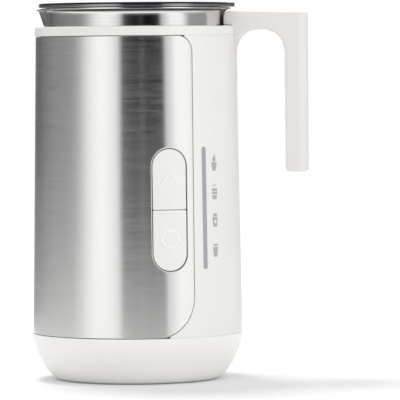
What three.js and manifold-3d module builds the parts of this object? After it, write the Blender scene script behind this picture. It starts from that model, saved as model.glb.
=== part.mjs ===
// A jug-type milk frother: round housing with a steel wrap and a white control panel, a removable
// stainless jug with a beak spout and an arched handle, a flat lid, and a magnetically driven whisk.
//
// Millimetres, +Z up. The origin is on the housing's axis, level with the undersides of the feet.
// +X points to the handle and -X to the spout. -Y is the front, where the buttons are, and +Y the back.

import * as THREE from 'three';
import { mergeVertices } from 'three/addons/utils/BufferGeometryUtils.js';
import Module from 'manifold-3d';

const wasm = await Module();
wasm.setup();

// ---------------------------------------------------------------------------------------------
// Driving dimensions
// ---------------------------------------------------------------------------------------------

const DEG = Math.PI / 180;
const GAP = 0.3; // clearance between pieces that sit against each other
const SEAM = 0.35; // visible joint between the shells of the housing
const RUNNING_GAP = 0.35; // radial clearance round a shaft, pin or screw
const ROUND = 40; // facets round the visible shells
const ROUND_INNER = 28; // facets round the hidden shells
const ROUND_SMALL = 14; // facets round motors, magnets and small hubs
const TAB_FACETS = 20; // facets round the lid's thumb tab
const ROUND_TINY = 8; // facets round screws and pins
const SLOT_FACETS = 4; // facets per quarter of a button's rounded end
const SLOT_FACETS_SMALL = 2; // facets per quarter of a narrow slot's rounded end
const EXTRA = 1; // how far a cut runs past the face it opens

// Housing
const BASE_HEIGHT = 26.6; // table to the seam under the wrap
const RING_HEIGHT = 5.4; // top ring
const RING_EDGE = 0.7; // its outer upper edge is broken by this much
const BODY_TAPER = 2.6; // the housing is this much wider in radius at the base than at the top ring
const SHELL_ROOM = 4.65; // from the well's outside to the housing's outside, at the top ring
const WRAP_THICKNESS = 0.8;
const PANEL_THICKNESS = 2.7;
const PANEL_HALF_ANGLE = 56.5; // either side of the handle
const CORNER_TOP_RADIUS = 9; // upper corners of the wrap
const CORNER_LOW_RADIUS = 24; // lower corners of the wrap
const CORNER_LOW_SWEEP = 77; // degrees of arc before a lower corner meets the base seam

// Base
const BASE_WALL = 3;
const BASE_RIM_LIFT = 0.6; // rim of the base above the table
const BASE_TUCK = 14.35; // the rim's radius is this much less than the housing's
const BASE_RIM_WIDTH = 4.3; // flat rim between the side and the bottom plate
const BASE_SHOULDER_DROP = 5.3; // the side stays steep for about this much under the seam
const BASE_SHOULDER_LEAN = 1.05; // and leans in by this much there
const BASE_TURN_REACH = 8; // pull of the curve at the rim, outwards
const BASE_TURN_RISE = 4.6; // pull of the curve at the rim, upwards
const LEDGE_THICKNESS = 2.4;
const LEDGE_WIDTH = 8.5; // the ledge over the bottom plate's edge
const PLATE_THICKNESS = 2.4;
const PLATE_LIFT = 1; // bottom plate above the table
const BOSS_RADIUS = 3.6;
const BOSS_HEIGHT = 5.6; // of the bosses that carry the main board, above the ledge
const BOSS_INSET = 4.5; // bosses inside the bottom plate's edge
const BOSS_CAP = 1; // closed end over each boss's screw hole
const FOOT_RADIUS = 5;
const FOOT_INSET = 12; // feet inside the bottom plate's edge
const FOOT_COUNT = 4;
const FOOT_CHAMFER = 0.5;
const SCREW_COUNT = 3;
const VENT_COUNT = 6;
const VENT_LENGTH = 9;
const VENT_WIDTH = 2;
const VENT_CIRCLE = 14; // middle of the vents
const GLAND_RADIUS = 4.6;
const GLAND_BORE = 3.1;
const GLAND_LIP = 1.6; // how far its flanges stand out round the sleeve
const GLAND_PAD_DEPTH = 3; // thickening of the wall round it
const GLAND_CHAMFER = 0.4;
const FOOT_RECESS = 1.2; // depth of the feet's seats in the bottom plate

// Screws
const SCREW_RADIUS = 1.5;
const SCREW_LENGTH = 7;
const SCREW_HEAD_RADIUS = 2.8;
const SCREW_HEAD_HEIGHT = 1.3;

// Chassis, motor and heater
const CHASSIS_THICKNESS = 2.4;
const SPIGOT_HEIGHT = 6;
const SPIGOT_THICKNESS = 1.6;
const BOARD_THICKNESS = 1.6;
const BOARD_MARGIN = 5.5; // main board beyond the circle of bosses
const CORD_ROOM = 12; // from the gland to the main board's back edge
const CAPACITOR_RADIUS = 7;
const CHOKE_RADIUS = 8.5;
const CHOKE_BORE = 3.5;
const COMPONENT_SIDE = 20; // capacitor and choke, either side of the middle
const COMPONENT_FORWARD = 14; // and this much towards the front
const MOTOR_RADIUS = 17;
const MOTOR_HEIGHT = 24;
const MOTOR_CHAMFER = 1.5;
const MOTOR_NOSE = 2; // height of the nose round the shaft
const ROTOR_STANDOFF = 5.675; // from the nose to the rotor's hub
const MOTOR_SCREW_CIRCLE = 9;
const SHAFT_RADIUS = 1.6;
const ROTOR_RADIUS = 15;
const ROTOR_HEIGHT = 5;
const ROTOR_HUB = 3; // hub under the rotor's disc
const ROTOR_CAP = 1; // closed end over the rotor's bore
const MAGNET_RADIUS = 3.4;
const MAGNET_HEIGHT = 3;
const MAGNET_CIRCLE = 9.5;
const COIL_INNER_RADIUS = 27;
const COIL_OUTER_RADIUS = 43;
const COIL_HEIGHT = 4;
const FORMER_WALL = 1.8;
const FORMER_TUBE_RADIUS = 19; // inner radius of the tower round the motor
const SENSOR_RADIUS = 1.9;
const SENSOR_COLLAR = 0.8;

// Jug and its well
const JUG_HEIGHT = 140.9;
const JUG_NECK_LIFT = 10.5; // rim above the top ring
const JUG_NECK_RADIUS = 50.3;
const JUG_TAPER = 1; // the foot is this much narrower in radius than the neck
const JUG_WALL = 1;
const JUG_FOOT_ROUND = 6;
const RIM_LIP = 0.9; // flat rim beyond the flare's curve
const FLARE_RADIUS = 3.2; // outer radius of the curve from the neck to the rim
const JUG_CLEARANCE = 0.7; // jug to well
const WELL_WALL = 1.4;
const WELL_FLOOR = 2;
const SKIRT_HEIGHT = 5.5; // the top ring's skirt, below the body's top
const LEAD_IN = 2; // how much the top ring's mouth opens towards the top
const SPOUT_HALF_ANGLE = 8.5; // where the beak's folds meet the neck
const SPOUT_REACH = 5; // beak's keel beyond the neck at the rim
const SPOUT_LIP = 0.8; // rim beyond the keel
const SPOUT_DROOP = 0.8; // fall of the rim at the beak's tip
const SPOUT_DEPTH = 16.5; // how far down from the rim the beak runs out
const SPOUT_CURVE = 1.15; // above 1 the keel curves outwards as it rises

// Handle
const HANDLE_WIDTH = 27;
const HANDLE_REACH = 40.55; // outer face of the grip, from the top ring's outside
const GRIP_THICKNESS = 12.8;
const GRIP_DROP = 82.8; // from the top ring's top to the grip's lower end
const GRIP_CORNER = 1.6;
const GRIP_BULGE = 0.5; // the lower end is slightly convex
const GRIP_EDGE_ROUND = 6; // rounding of the grip's outer edges, seen from above
const ARM_HEIGHT = 8; // at the neck, above the top ring
const ARM_FALL = 1; // the arm's top falls this much towards the grip
const ARM_LIFT = 0.4; // arm above the top ring
const ARM_ROOT_ROUND = 3.2;
const ARCH_DROP = 1.9; // arm's underside at the arch's crown, below the top ring's top
const ARCH_RISE = 14; // from the arch's spring to its crown
const ARCH_FULLNESS = 0.62; // 0.55 is a round arch, more is squarer
const EDGE_ROUND = 1.2;
const TONGUE_HALF_WIDTH = 13.5;
const TONGUE_FOOT_HALF_WIDTH = 11.4;
const TONGUE_LENGTH = 32; // below the top ring's top
const TONGUE_DEPTH = 1.5; // recess in the ring and the panel
const TONGUE_PROUD = 0.2;
const TONGUE_CORNER = 4;

// Handle bracket
const BRACKET_THICKNESS = 1.2;
const BRACKET_DROP = 0.8; // its tab below the arm's middle
const BRACKET_HEIGHT = 4.6;
const BRACKET_HALF_WIDTH = 8;
const BRACKET_TAB_HALF_WIDTH = 5;
const BRACKET_SCREW_SPACING = 9;
const BRACKET_END = 4; // tab beyond its outer screw

// Lid
const LID_OVERHANG = 0.6; // lid beyond the jug's rim
const LID_THICKNESS = 2.4;
const LID_EDGE = 0.7;
const LID_TAB_RADIUS = 16;
const LID_TAB_REACH = 1.5; // thumb tab beyond the disc
const LID_SKIRT_WALL = 1.5;
const LID_SKIRT_DEPTH = 6.6;
const LID_RIB = 1; // rib under the seal
const SEAL_THICKNESS = 1.4;
const SEAL_HEIGHT = 3.4;

// Controls
const CONTROL_HEIGHT = 97.75; // middle of the buttons above the table
const BUTTON_OFFSET = 14.6; // degrees from the panel's edge to the buttons' middle
const BUTTON_WIDTH = 19.3;
const BUTTON_PAIR_HEIGHT = 67.5;
const BUTTON_GAP = 0.65;
const BUTTON_SPLIT = 0.5;
const BUTTON_PROUD = 0.35;
const BUTTON_FLANGE = 0.8;
const BUTTON_LIP = 1.2;
const BUTTON_TRAVEL = 0.8;
const PLUNGER_RADIUS = 2;
const FRAME_WALL = 1.2;
const CONTROL_BOARD_WIDTH = 20;
const CONTROL_BOARD_HEIGHT = 54;
const CONTROL_BOARD_THICKNESS = 1;
const SWITCH_SIZE = 5;
const SWITCH_HEIGHT = 1;
const SWITCH_TIP_RADIUS = 1.5;
const SWITCH_TIP_HEIGHT = 0.4;
const LIGHT_OFFSET = 6.5; // degrees from the panel's edge to the light bar's middle
const LIGHT_RAISE = 0.85; // middle of the light bar above the buttons' middle
const LIGHT_LENGTH = 67.8;
const LIGHT_WIDTH = 3.2;
const LIGHT_FLANGE = 1.2;
const LIGHT_BOARD_WIDTH = 6;

// Whisk
const SPINDLE_RADIUS = 2;
const SPINDLE_HEIGHT = 16;
const SPINDLE_FOOT_RADIUS = 6;
const SPINDLE_FOOT_HEIGHT = 1.4;
const BUSH_WALL = 1.6;
const HUB_WALL = 1.3;
const WHISK_MAGNET_WIDTH = 3.6;
const WHISK_MAGNET_HEIGHT = 3.6;
const WHISK_RING_RADIUS = 20;
const WHISK_RING_THICKNESS = 3;
const WHISK_SPOKES = 4;
const WHISK_SPOKE_WIDTH = 2;
const WHISK_TURNS_PER_SPOKE = 4;
const WHISK_COIL_RADIUS = 2.6;
const WHISK_WIRE_RADIUS = 0.45;
const WHISK_WIRE_SIDES = 4;
const WHISK_STEPS_PER_TURN = 5;

// ---------------------------------------------------------------------------------------------
// Levels and radii worked out from them
// ---------------------------------------------------------------------------------------------

// Upwards from the table
const PLATE_TOP = PLATE_LIFT + PLATE_THICKNESS;
const LEDGE_BOTTOM = PLATE_TOP + GAP;
const LEDGE_TOP = LEDGE_BOTTOM + LEDGE_THICKNESS;
const BOSS_TOP = LEDGE_TOP + BOSS_HEIGHT;
const BASE_TOP_FACE = BASE_HEIGHT - SEAM / 2;
const BODY_BOTTOM_FACE = BASE_HEIGHT + SEAM / 2;
const CHASSIS_TOP = BASE_TOP_FACE;
const CHASSIS_BOTTOM = CHASSIS_TOP - CHASSIS_THICKNESS;
const GLAND_HEIGHT = (LEDGE_TOP + CHASSIS_BOTTOM) / 2;
const MOTOR_BOTTOM = CHASSIS_TOP + GAP;
const MOTOR_TOP = MOTOR_BOTTOM + MOTOR_HEIGHT;
const ROTOR_BOTTOM = MOTOR_TOP + MOTOR_NOSE + ROTOR_STANDOFF + ROTOR_HUB;
const ROTOR_TOP = ROTOR_BOTTOM + ROTOR_HEIGHT;
const FORMER_TOP = ROTOR_TOP + GAP;
const DISH_TOP = FORMER_TOP - COIL_HEIGHT - 2 * GAP;
const WELL_BOTTOM = FORMER_TOP + GAP;
const JUG_BOTTOM = WELL_BOTTOM + WELL_FLOOR + GAP;
const JUG_FLOOR_TOP = JUG_BOTTOM + JUG_WALL;
const RIM_TOP = JUG_BOTTOM + JUG_HEIGHT;
const NECK_TOP = RIM_TOP - JUG_WALL - FLARE_RADIUS;
const LID_BOTTOM = RIM_TOP + GAP;
const LID_TOP = LID_BOTTOM + LID_THICKNESS;
const RING_TOP = RIM_TOP - JUG_NECK_LIFT;
const BODY_TOP = RING_TOP - RING_HEIGHT;
const BODY_TOP_FACE = BODY_TOP - SEAM / 2;
const RING_BOTTOM_FACE = BODY_TOP + SEAM / 2;
const LIGHT_HEIGHT = CONTROL_HEIGHT + LIGHT_RAISE;
const GRIP_BOTTOM = RING_TOP - GRIP_DROP;

// Outwards from the jug
const JUG_FOOT_RADIUS = JUG_NECK_RADIUS - JUG_TAPER;
const RIM_RADIUS = JUG_NECK_RADIUS + FLARE_RADIUS + RIM_LIP;
const LID_RADIUS = RIM_RADIUS + LID_OVERHANG;
const BODY_TOP_RADIUS = JUG_NECK_RADIUS + JUG_CLEARANCE + WELL_WALL + SHELL_ROOM;
const BODY_FOOT_RADIUS = BODY_TOP_RADIUS + BODY_TAPER;
const BODY_MIDDLE_RADIUS = (BODY_FOOT_RADIUS + BODY_TOP_RADIUS) / 2;
const HANDLE_OUTER = BODY_TOP_RADIUS + HANDLE_REACH;
const BASE_RIM_RADIUS = BODY_FOOT_RADIUS - BASE_TUCK;
const PLATE_RADIUS = BASE_RIM_RADIUS - BASE_RIM_WIDTH;
const BOSS_CIRCLE = PLATE_RADIUS - BOSS_INSET;
const FOOT_CIRCLE = PLATE_RADIUS - FOOT_INSET;
const MAIN_BOARD_RADIUS = BOSS_CIRCLE + BOARD_MARGIN;
const SENSOR_CIRCLE = (FORMER_TUBE_RADIUS + FORMER_WALL + COIL_INNER_RADIUS) / 2;

// Round the housing, in degrees from the handle
const BUTTON_ANGLE = -(PANEL_HALF_ANGLE + BUTTON_OFFSET);
const LIGHT_ANGLE = -(PANEL_HALF_ANGLE - LIGHT_OFFSET);

/** Outer radius of the tapered housing at height z. */
function bodyRadius(z) {
  const share = (z - BASE_HEIGHT) / (BODY_TOP - BASE_HEIGHT);
  return THREE.MathUtils.lerp(BODY_FOOT_RADIUS, BODY_TOP_RADIUS, THREE.MathUtils.clamp(share, 0, 1));
}

/** Outer radius of the jug's straight side at height z. */
function jugRadius(z) {
  const share = (z - JUG_BOTTOM - JUG_FOOT_ROUND) / (RING_TOP - JUG_BOTTOM - JUG_FOOT_ROUND);
  return THREE.MathUtils.lerp(JUG_FOOT_RADIUS, JUG_NECK_RADIUS, THREE.MathUtils.clamp(share, 0, 1));
}

const wellInnerRadius = (z) => jugRadius(z) + JUG_CLEARANCE;
const wellOuterRadius = (z) => wellInnerRadius(z) + WELL_WALL;

// ---------------------------------------------------------------------------------------------
// Materials
// ---------------------------------------------------------------------------------------------

const finish = (color, roughness, metalness = 0) =>
  new THREE.MeshStandardMaterial({ color, roughness, metalness });

const WHITE = finish(0xece9e3, 0.38);
const BRUSHED = finish(0xa9a7a4, 0.32, 1);
const POLISHED = finish(0xb5b3b0, 0.18, 1);
const DARK_LID = finish(0x14121f, 0.08);
const LIGHT_LENS = finish(0xacaeb8, 0.45);
const BLACK = finish(0x1d1d1f, 0.6);
const RUBBER = finish(0x2b2b2d, 0.85);
const SILICONE = finish(0xb9b7c4, 0.6);
const BOARD = finish(0x1f5a3a, 0.6);
const COPPER = finish(0xb56a3c, 0.35, 1);
const STEEL = finish(0x9a9a9c, 0.35, 1);
const GREY = finish(0x8d8d90, 0.55);

// ---------------------------------------------------------------------------------------------
// Geometry helpers
// ---------------------------------------------------------------------------------------------

/** The geometry with shared vertices merged, collapsed faces dropped and its faces pointing out. */
function weld(geometry) {
  const bare = new THREE.BufferGeometry();
  bare.setAttribute('position', geometry.getAttribute('position').clone());
  if (geometry.index) bare.setIndex(geometry.index.clone());
  const merged = mergeVertices(bare, 1e-4);
  const index = merged.index.array;
  const position = merged.getAttribute('position');
  const corners = [0, 1, 2].map(() => new THREE.Vector3());
  const faces = [];
  let volume = 0;
  for (let i = 0; i < index.length; i += 3) {
    const face = [index[i], index[i + 1], index[i + 2]];
    if (new Set(face).size < 3) continue;
    face.forEach((vertex, k) => corners[k].fromBufferAttribute(position, vertex));
    volume += corners[0].dot(corners[1].clone().cross(corners[2]));
    faces.push(face);
  }
  if (volume < 0) faces.forEach((face) => face.reverse());
  merged.setIndex(faces.flat());
  return merged;
}

/** A closed geometry as a manifold solid. */
function toSolid(geometry) {
  const welded = weld(geometry);
  return new wasm.Manifold(new wasm.Mesh({
    numProp: 3,
    vertProperties: new Float32Array(welded.getAttribute('position').array),
    triVerts: new Uint32Array(welded.index.array),
  }));
}

/** A manifold solid as a geometry. */
function toGeometry(solid) {
  const mesh = solid.getMesh();
  const geometry = new THREE.BufferGeometry();
  geometry.setAttribute('position', new THREE.BufferAttribute(mesh.vertProperties, 3));
  geometry.setIndex(new THREE.BufferAttribute(mesh.triVerts, 1));
  return geometry;
}

const combine = (operation, first, others) =>
  toGeometry(others.reduce((solid, other) => solid[operation](toSolid(other)), toSolid(first)));

const join = (first, ...others) => combine('add', first, others);
const cut = (first, ...others) => combine('subtract', first, others);
const common = (first, ...others) => combine('intersect', first, others);

/** A solid turned about Z from an outline of [radius, z] points that starts and ends on the axis. */
function turned(outline, segments = ROUND) {
  const points = outline.map(([r, z]) => new THREE.Vector2(r, z));
  return new THREE.LatheGeometry(points, segments).rotateX(Math.PI / 2);
}

/** A ring turned about Z from a closed outline of [radius, z] points. */
const ring = (outline, segments = ROUND) => turned([...outline, outline[0]], segments);

/** A plain disc or pin about Z. */
const disc = (radius, z0, z1, segments = ROUND_SMALL) =>
  turned([[0, z0], [radius, z0], [radius, z1], [0, z1]], segments);

/** A plain tube about Z. */
const tube = (inner, outer, z0, z1, segments = ROUND_SMALL) =>
  ring([[inner, z0], [outer, z0], [outer, z1], [inner, z1]], segments);

/** A tube whose walls follow two radii that vary with height. */
function sleeve(innerAt, outerAt, z0, z1, segments = ROUND) {
  return ring([[innerAt(z0), z0], [outerAt(z0), z0], [outerAt(z1), z1], [innerAt(z1), z1]], segments);
}

/** Points [x, y] of an arc, with angles in degrees. */
function arc(cx, cy, radius, from, to, steps) {
  return Array.from({ length: steps + 1 }, (_, i) => {
    const angle = THREE.MathUtils.lerp(from, to, i / steps) * DEG;
    return [cx + radius * Math.cos(angle), cy + radius * Math.sin(angle)];
  });
}

/** The x of a curve where its y is a given value. Its y only rises or only falls along the curve. */
function curveAt(curve, y) {
  const rises = curve.getPoint(1).y > curve.getPoint(0).y;
  let [low, high] = [0, 1];
  for (let i = 0; i < 30; i += 1) {
    const middle = (low + high) / 2;
    if ((curve.getPoint(middle).y < y) === rises) low = middle;
    else high = middle;
  }
  return curve.getPoint(low).x;
}

/** A block with its middle at a point. */
const block = (sx, sy, sz, x = 0, y = 0, z = 0) =>
  new THREE.BoxGeometry(sx, sy, sz).translate(x, y, z);

/** A rounded slot outline, centred on the origin and upright. */
function slotShape(width, height) {
  const r = width / 2;
  const shape = new THREE.Shape();
  shape.absarc(0, height / 2 - r, r, 0, Math.PI, false);
  shape.absarc(0, r - height / 2, r, Math.PI, 2 * Math.PI, false);
  return shape;
}

/** Shape x becomes the tangent, shape y becomes up, and the depth runs outwards. */
const OUTWARDS = new THREE.Matrix4().makeBasis(
  new THREE.Vector3(0, 1, 0), new THREE.Vector3(0, 0, 1), new THREE.Vector3(1, 0, 0));

/** A prism that points outwards from the axis at an angle, between two distances from it. */
function outwardPrism(shape, from, to, angle, z, curveSegments) {
  return new THREE.ExtrudeGeometry(shape, { depth: to - from, bevelEnabled: false, curveSegments })
    .applyMatrix4(OUTWARDS)
    .translate(from, 0, z)
    .rotateZ(angle * DEG);
}

/** A closed block between two radii, row by row, as wide at each height as halfAngleAt says. */
function fanBlock(heights, halfAngleAt, innerAt, outerAt, columns) {
  const positions = [];
  const index = [];
  const vertex = (row, column, layer) => (row * (columns + 1) + column) * 2 + layer;
  const quad = (a, b, c, d) => index.push(a, b, c, a, c, d);
  heights.forEach((z) => {
    for (let column = 0; column <= columns; column += 1) {
      const angle = halfAngleAt(z) * (2 * column / columns - 1);
      [innerAt(z), outerAt(z)].forEach((r) => positions.push(r * Math.cos(angle), r * Math.sin(angle), z));
    }
  });
  const last = heights.length - 1;
  for (let row = 0; row < last; row += 1) {
    for (let column = 0; column < columns; column += 1) {
      const corners = [[row, column], [row, column + 1], [row + 1, column + 1], [row + 1, column]];
      quad(...corners.map(([i, j]) => vertex(i, j, 1)));
      quad(...corners.reverse().map(([i, j]) => vertex(i, j, 0)));
    }
    quad(vertex(row, 0, 0), vertex(row, 0, 1), vertex(row + 1, 0, 1), vertex(row + 1, 0, 0));
    quad(vertex(row, columns, 1), vertex(row, columns, 0),
      vertex(row + 1, columns, 0), vertex(row + 1, columns, 1));
  }
  for (let column = 0; column < columns; column += 1) {
    quad(vertex(0, column, 0), vertex(0, column + 1, 0), vertex(0, column + 1, 1), vertex(0, column, 1));
    quad(vertex(last, column, 1), vertex(last, column + 1, 1),
      vertex(last, column + 1, 0), vertex(last, column, 0));
  }
  const geometry = new THREE.BufferGeometry();
  geometry.setAttribute('position', new THREE.Float32BufferAttribute(positions, 3));
  geometry.setIndex(index);
  return geometry;
}

/** A named mesh. */
function piece(name, geometry, material) {
  const welded = weld(geometry);
  welded.computeVertexNormals();
  const mesh = new THREE.Mesh(welded, material);
  mesh.name = name;
  return mesh;
}

function group(...children) {
  return new THREE.Group().add(...children);
}

/** The [x, y] places of a number of pieces on a circle, with the first at startAngle degrees. */
function onCircle(count, radius, startAngle = 0) {
  return Array.from({ length: count }, (_, i) => {
    const angle = startAngle * DEG + 2 * Math.PI * i / count;
    return [radius * Math.cos(angle), radius * Math.sin(angle)];
  });
}

/** A pan-head screw that points up, with its shank starting at z = 0. */
function screwGeometry() {
  return turned([
    [0, -SCREW_HEAD_HEIGHT],
    [SCREW_HEAD_RADIUS * 0.8, -SCREW_HEAD_HEIGHT],
    [SCREW_HEAD_RADIUS, 0],
    [SCREW_RADIUS, 0],
    [SCREW_RADIUS, SCREW_LENGTH - SCREW_RADIUS],
    [0, SCREW_LENGTH],
  ], ROUND_TINY);
}

function screw(name, x, y, z) {
  const mesh = piece(name, screwGeometry(), STEEL);
  mesh.position.set(x, y, z);
  return mesh;
}

/** A clearance hole for a screw or a pin, between two heights. */
const pinHole = (radius, x, y, z0, z1) => disc(radius + RUNNING_GAP, z0, z1, ROUND_TINY).translate(x, y, 0);

/** Cuts for a screw: a clearance hole of a length and a recess for the head below z. */
const screwCut = (x, y, z, length, headDepth) => join(
  pinHole(SCREW_RADIUS, x, y, z - GAP, z + length),
  pinHole(SCREW_HEAD_RADIUS, x, y, z - headDepth, z + GAP),
);

// ---------------------------------------------------------------------------------------------
// Base: cup, bottom plate, feet, gland, boards
// ---------------------------------------------------------------------------------------------

/** The base's side from the seam down to its rim. */
const baseCurve = new THREE.CubicBezierCurve(
  new THREE.Vector2(BODY_FOOT_RADIUS, BASE_TOP_FACE),
  new THREE.Vector2(BODY_FOOT_RADIUS - BASE_SHOULDER_LEAN, BASE_TOP_FACE - BASE_SHOULDER_DROP),
  new THREE.Vector2(BASE_RIM_RADIUS + BASE_TURN_REACH, BASE_RIM_LIFT + BASE_TURN_RISE),
  new THREE.Vector2(BASE_RIM_RADIUS, BASE_RIM_LIFT),
);

const baseRadius = (z) => curveAt(baseCurve, z);

const BACK_ANGLE = 90; // the cord leaves at the back
const CHASSIS_RADIUS = baseRadius(CHASSIS_BOTTOM) - BASE_WALL / 2 - GAP;
const GLAND_INNER_FACE = baseRadius(GLAND_HEIGHT) - BASE_WALL - GLAND_PAD_DEPTH;
const GLAND_OUTER_FACE = baseRadius(GLAND_HEIGHT) - BASE_WALL / 2;
const bossPlaces = onCircle(SCREW_COUNT, BOSS_CIRCLE, 30);
const footPlaces = onCircle(FOOT_COUNT, FOOT_CIRCLE, 45);
const FOOT_FACETS = 8;

/** Turns a piece about Z so that its axis runs outwards at an angle, from a distance and a height. */
const outwards = (geometry, distance, z, angle) =>
  geometry.rotateY(Math.PI / 2).translate(distance, 0, z).rotateZ(angle * DEG);

/** A disc round the gland's axis, from a distance out and for a length. */
const glandDisc = (radius, distance, length) =>
  outwards(disc(radius, 0, length), distance, GLAND_HEIGHT, BACK_ANGLE);

function baseCup() {
  const outside = baseCurve.getPoints(7).map((point) => [point.x, point.y]);
  const stepHeight = CHASSIS_BOTTOM - GAP;
  const insideHeights = [0, 0.3, 1].map((share) => THREE.MathUtils.lerp(LEDGE_TOP, stepHeight, share));
  const solid = turned([[0, BASE_TOP_FACE], ...outside, [0, BASE_RIM_LIFT]]);
  const room = turned([
    [0, BASE_RIM_LIFT - EXTRA],
    [PLATE_RADIUS + GAP, BASE_RIM_LIFT - EXTRA],
    [PLATE_RADIUS + GAP, LEDGE_BOTTOM],
    [PLATE_RADIUS - LEDGE_WIDTH, LEDGE_BOTTOM],
    [PLATE_RADIUS - LEDGE_WIDTH, LEDGE_TOP],
    ...insideHeights.map((z) => [baseRadius(z) - BASE_WALL, z]),
    [CHASSIS_RADIUS + GAP, stepHeight],
    [CHASSIS_RADIUS + GAP, BASE_TOP_FACE + EXTRA],
    [0, BASE_TOP_FACE + EXTRA],
  ], ROUND_INNER);
  const bosses = bossPlaces.map(([x, y]) =>
    disc(BOSS_RADIUS, LEDGE_BOTTOM + LEDGE_THICKNESS / 2, BOSS_TOP, ROUND_TINY).translate(x, y, 0));
  const screwHoles = bossPlaces.map(([x, y]) =>
    pinHole(SCREW_RADIUS, x, y, LEDGE_BOTTOM - EXTRA, BOSS_TOP - BOSS_CAP));
  const seatRadius = GLAND_RADIUS + GLAND_LIP + GAP;
  const pad = common(
    turned([[0, BASE_TOP_FACE], ...outside.map(([r, z]) => [r - BASE_WALL / 4, z]), [0, BASE_RIM_LIFT]]),
    glandDisc(seatRadius + GAP, GLAND_INNER_FACE, 2 * BASE_WALL + GLAND_PAD_DEPTH),
  );
  const glandHole = glandDisc(GLAND_RADIUS + GAP, GLAND_INNER_FACE - EXTRA, BODY_FOOT_RADIUS);
  const glandSeat = glandDisc(seatRadius, GLAND_OUTER_FACE, BODY_FOOT_RADIUS);
  return cut(join(cut(solid, room), ...bosses, pad), ...screwHoles, glandHole, glandSeat);
}

function bottomPlate() {
  const plate = disc(PLATE_RADIUS, PLATE_LIFT, PLATE_TOP, ROUND_INNER);
  const headDepth = SCREW_HEAD_HEIGHT + GAP;
  const screwCuts = bossPlaces.map(([x, y]) =>
    screwCut(x, y, PLATE_LIFT + headDepth, PLATE_THICKNESS, headDepth + EXTRA));
  const footRecesses = footPlaces.map(([x, y]) =>
    disc(FOOT_RADIUS + GAP, PLATE_LIFT - EXTRA, PLATE_LIFT + FOOT_RECESS, FOOT_FACETS).translate(x, y, 0));
  const vents = onCircle(VENT_COUNT, VENT_CIRCLE).map(([x, y], i) =>
    new THREE.ExtrudeGeometry(slotShape(VENT_WIDTH, VENT_LENGTH), {
      depth: PLATE_THICKNESS + 2 * EXTRA, bevelEnabled: false, curveSegments: SLOT_FACETS_SMALL,
    }).rotateZ(Math.PI / 2 + 2 * Math.PI * i / VENT_COUNT).translate(x, y, PLATE_LIFT - EXTRA));
  return cut(plate, ...screwCuts, ...footRecesses, ...vents);
}

/** A rubber foot that stands on the table and fills its recess in the bottom plate. */
function foot(name, x, y) {
  const top = PLATE_LIFT + FOOT_RECESS - GAP;
  const mesh = piece(name, turned([
    [0, 0], [FOOT_RADIUS - FOOT_CHAMFER, 0], [FOOT_RADIUS, FOOT_CHAMFER], [FOOT_RADIUS, top], [0, top],
  ], FOOT_FACETS), RUBBER);
  mesh.position.set(x, y, 0);
  return mesh;
}

/** The rubber bush that the cord passes through, with a flange on each side of its pad. */
function cordGland() {
  const inner = GLAND_INNER_FACE - GAP;
  const outer = GLAND_OUTER_FACE + GAP;
  const lip = GLAND_RADIUS + GLAND_LIP;
  return outwards(ring([
    [GLAND_BORE, inner - GLAND_LIP],
    [lip, inner - GLAND_LIP],
    [lip, inner],
    [GLAND_RADIUS, inner],
    [GLAND_RADIUS, outer],
    [lip, outer],
    [lip - GLAND_CHAMFER, outer + GLAND_LIP],
    [GLAND_BORE, outer + GLAND_LIP],
  ], ROUND_SMALL), 0, GLAND_HEIGHT, BACK_ANGLE);
}

/** The main board stands on the bosses, with its back edge cut clear of the gland. */
function mainBoard() {
  const bottom = BOSS_TOP + GAP;
  const board = disc(MAIN_BOARD_RADIUS, bottom, bottom + BOARD_THICKNESS, ROUND_INNER);
  const backCut = block(4 * MAIN_BOARD_RADIUS, MAIN_BOARD_RADIUS, 4 * BOARD_THICKNESS,
    0, GLAND_INNER_FACE - CORD_ROOM + MAIN_BOARD_RADIUS / 2, bottom);
  return cut(board, backCut);
}

function base() {
  const boardTop = BOSS_TOP + GAP + BOARD_THICKNESS;
  const room = CHASSIS_BOTTOM - SCREW_HEAD_HEIGHT - GAP - boardTop - GAP;
  const capacitor = piece('power_capacitor', disc(CAPACITOR_RADIUS, 0, room - GAP), GREY);
  capacitor.position.set(-COMPONENT_SIDE, -COMPONENT_FORWARD, boardTop + GAP);
  const choke = piece('power_choke', tube(CHOKE_BORE, CHOKE_RADIUS, 0, room - GAP), COPPER);
  choke.position.set(COMPONENT_SIDE, -COMPONENT_FORWARD, boardTop + GAP);
  const screwHeight = PLATE_LIFT + SCREW_HEAD_HEIGHT + GAP;
  return group(
    piece('base_cup', baseCup(), WHITE),
    piece('bottom_plate', bottomPlate(), GREY),
    ...footPlaces.map(([x, y], i) => foot(`foot_${i + 1}`, x, y)),
    ...bossPlaces.map(([x, y], i) => screw(`plate_screw_${i + 1}`, x, y, screwHeight - GAP)),
    piece('cord_gland', cordGland(), RUBBER),
    piece('main_board', mainBoard(), BOARD),
    capacitor,
    choke,
  );
}

// ---------------------------------------------------------------------------------------------
// Chassis, motor, drive rotor and heater
// ---------------------------------------------------------------------------------------------

const motorScrewPlaces = onCircle(2, MOTOR_SCREW_CIRCLE, 90);

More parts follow.
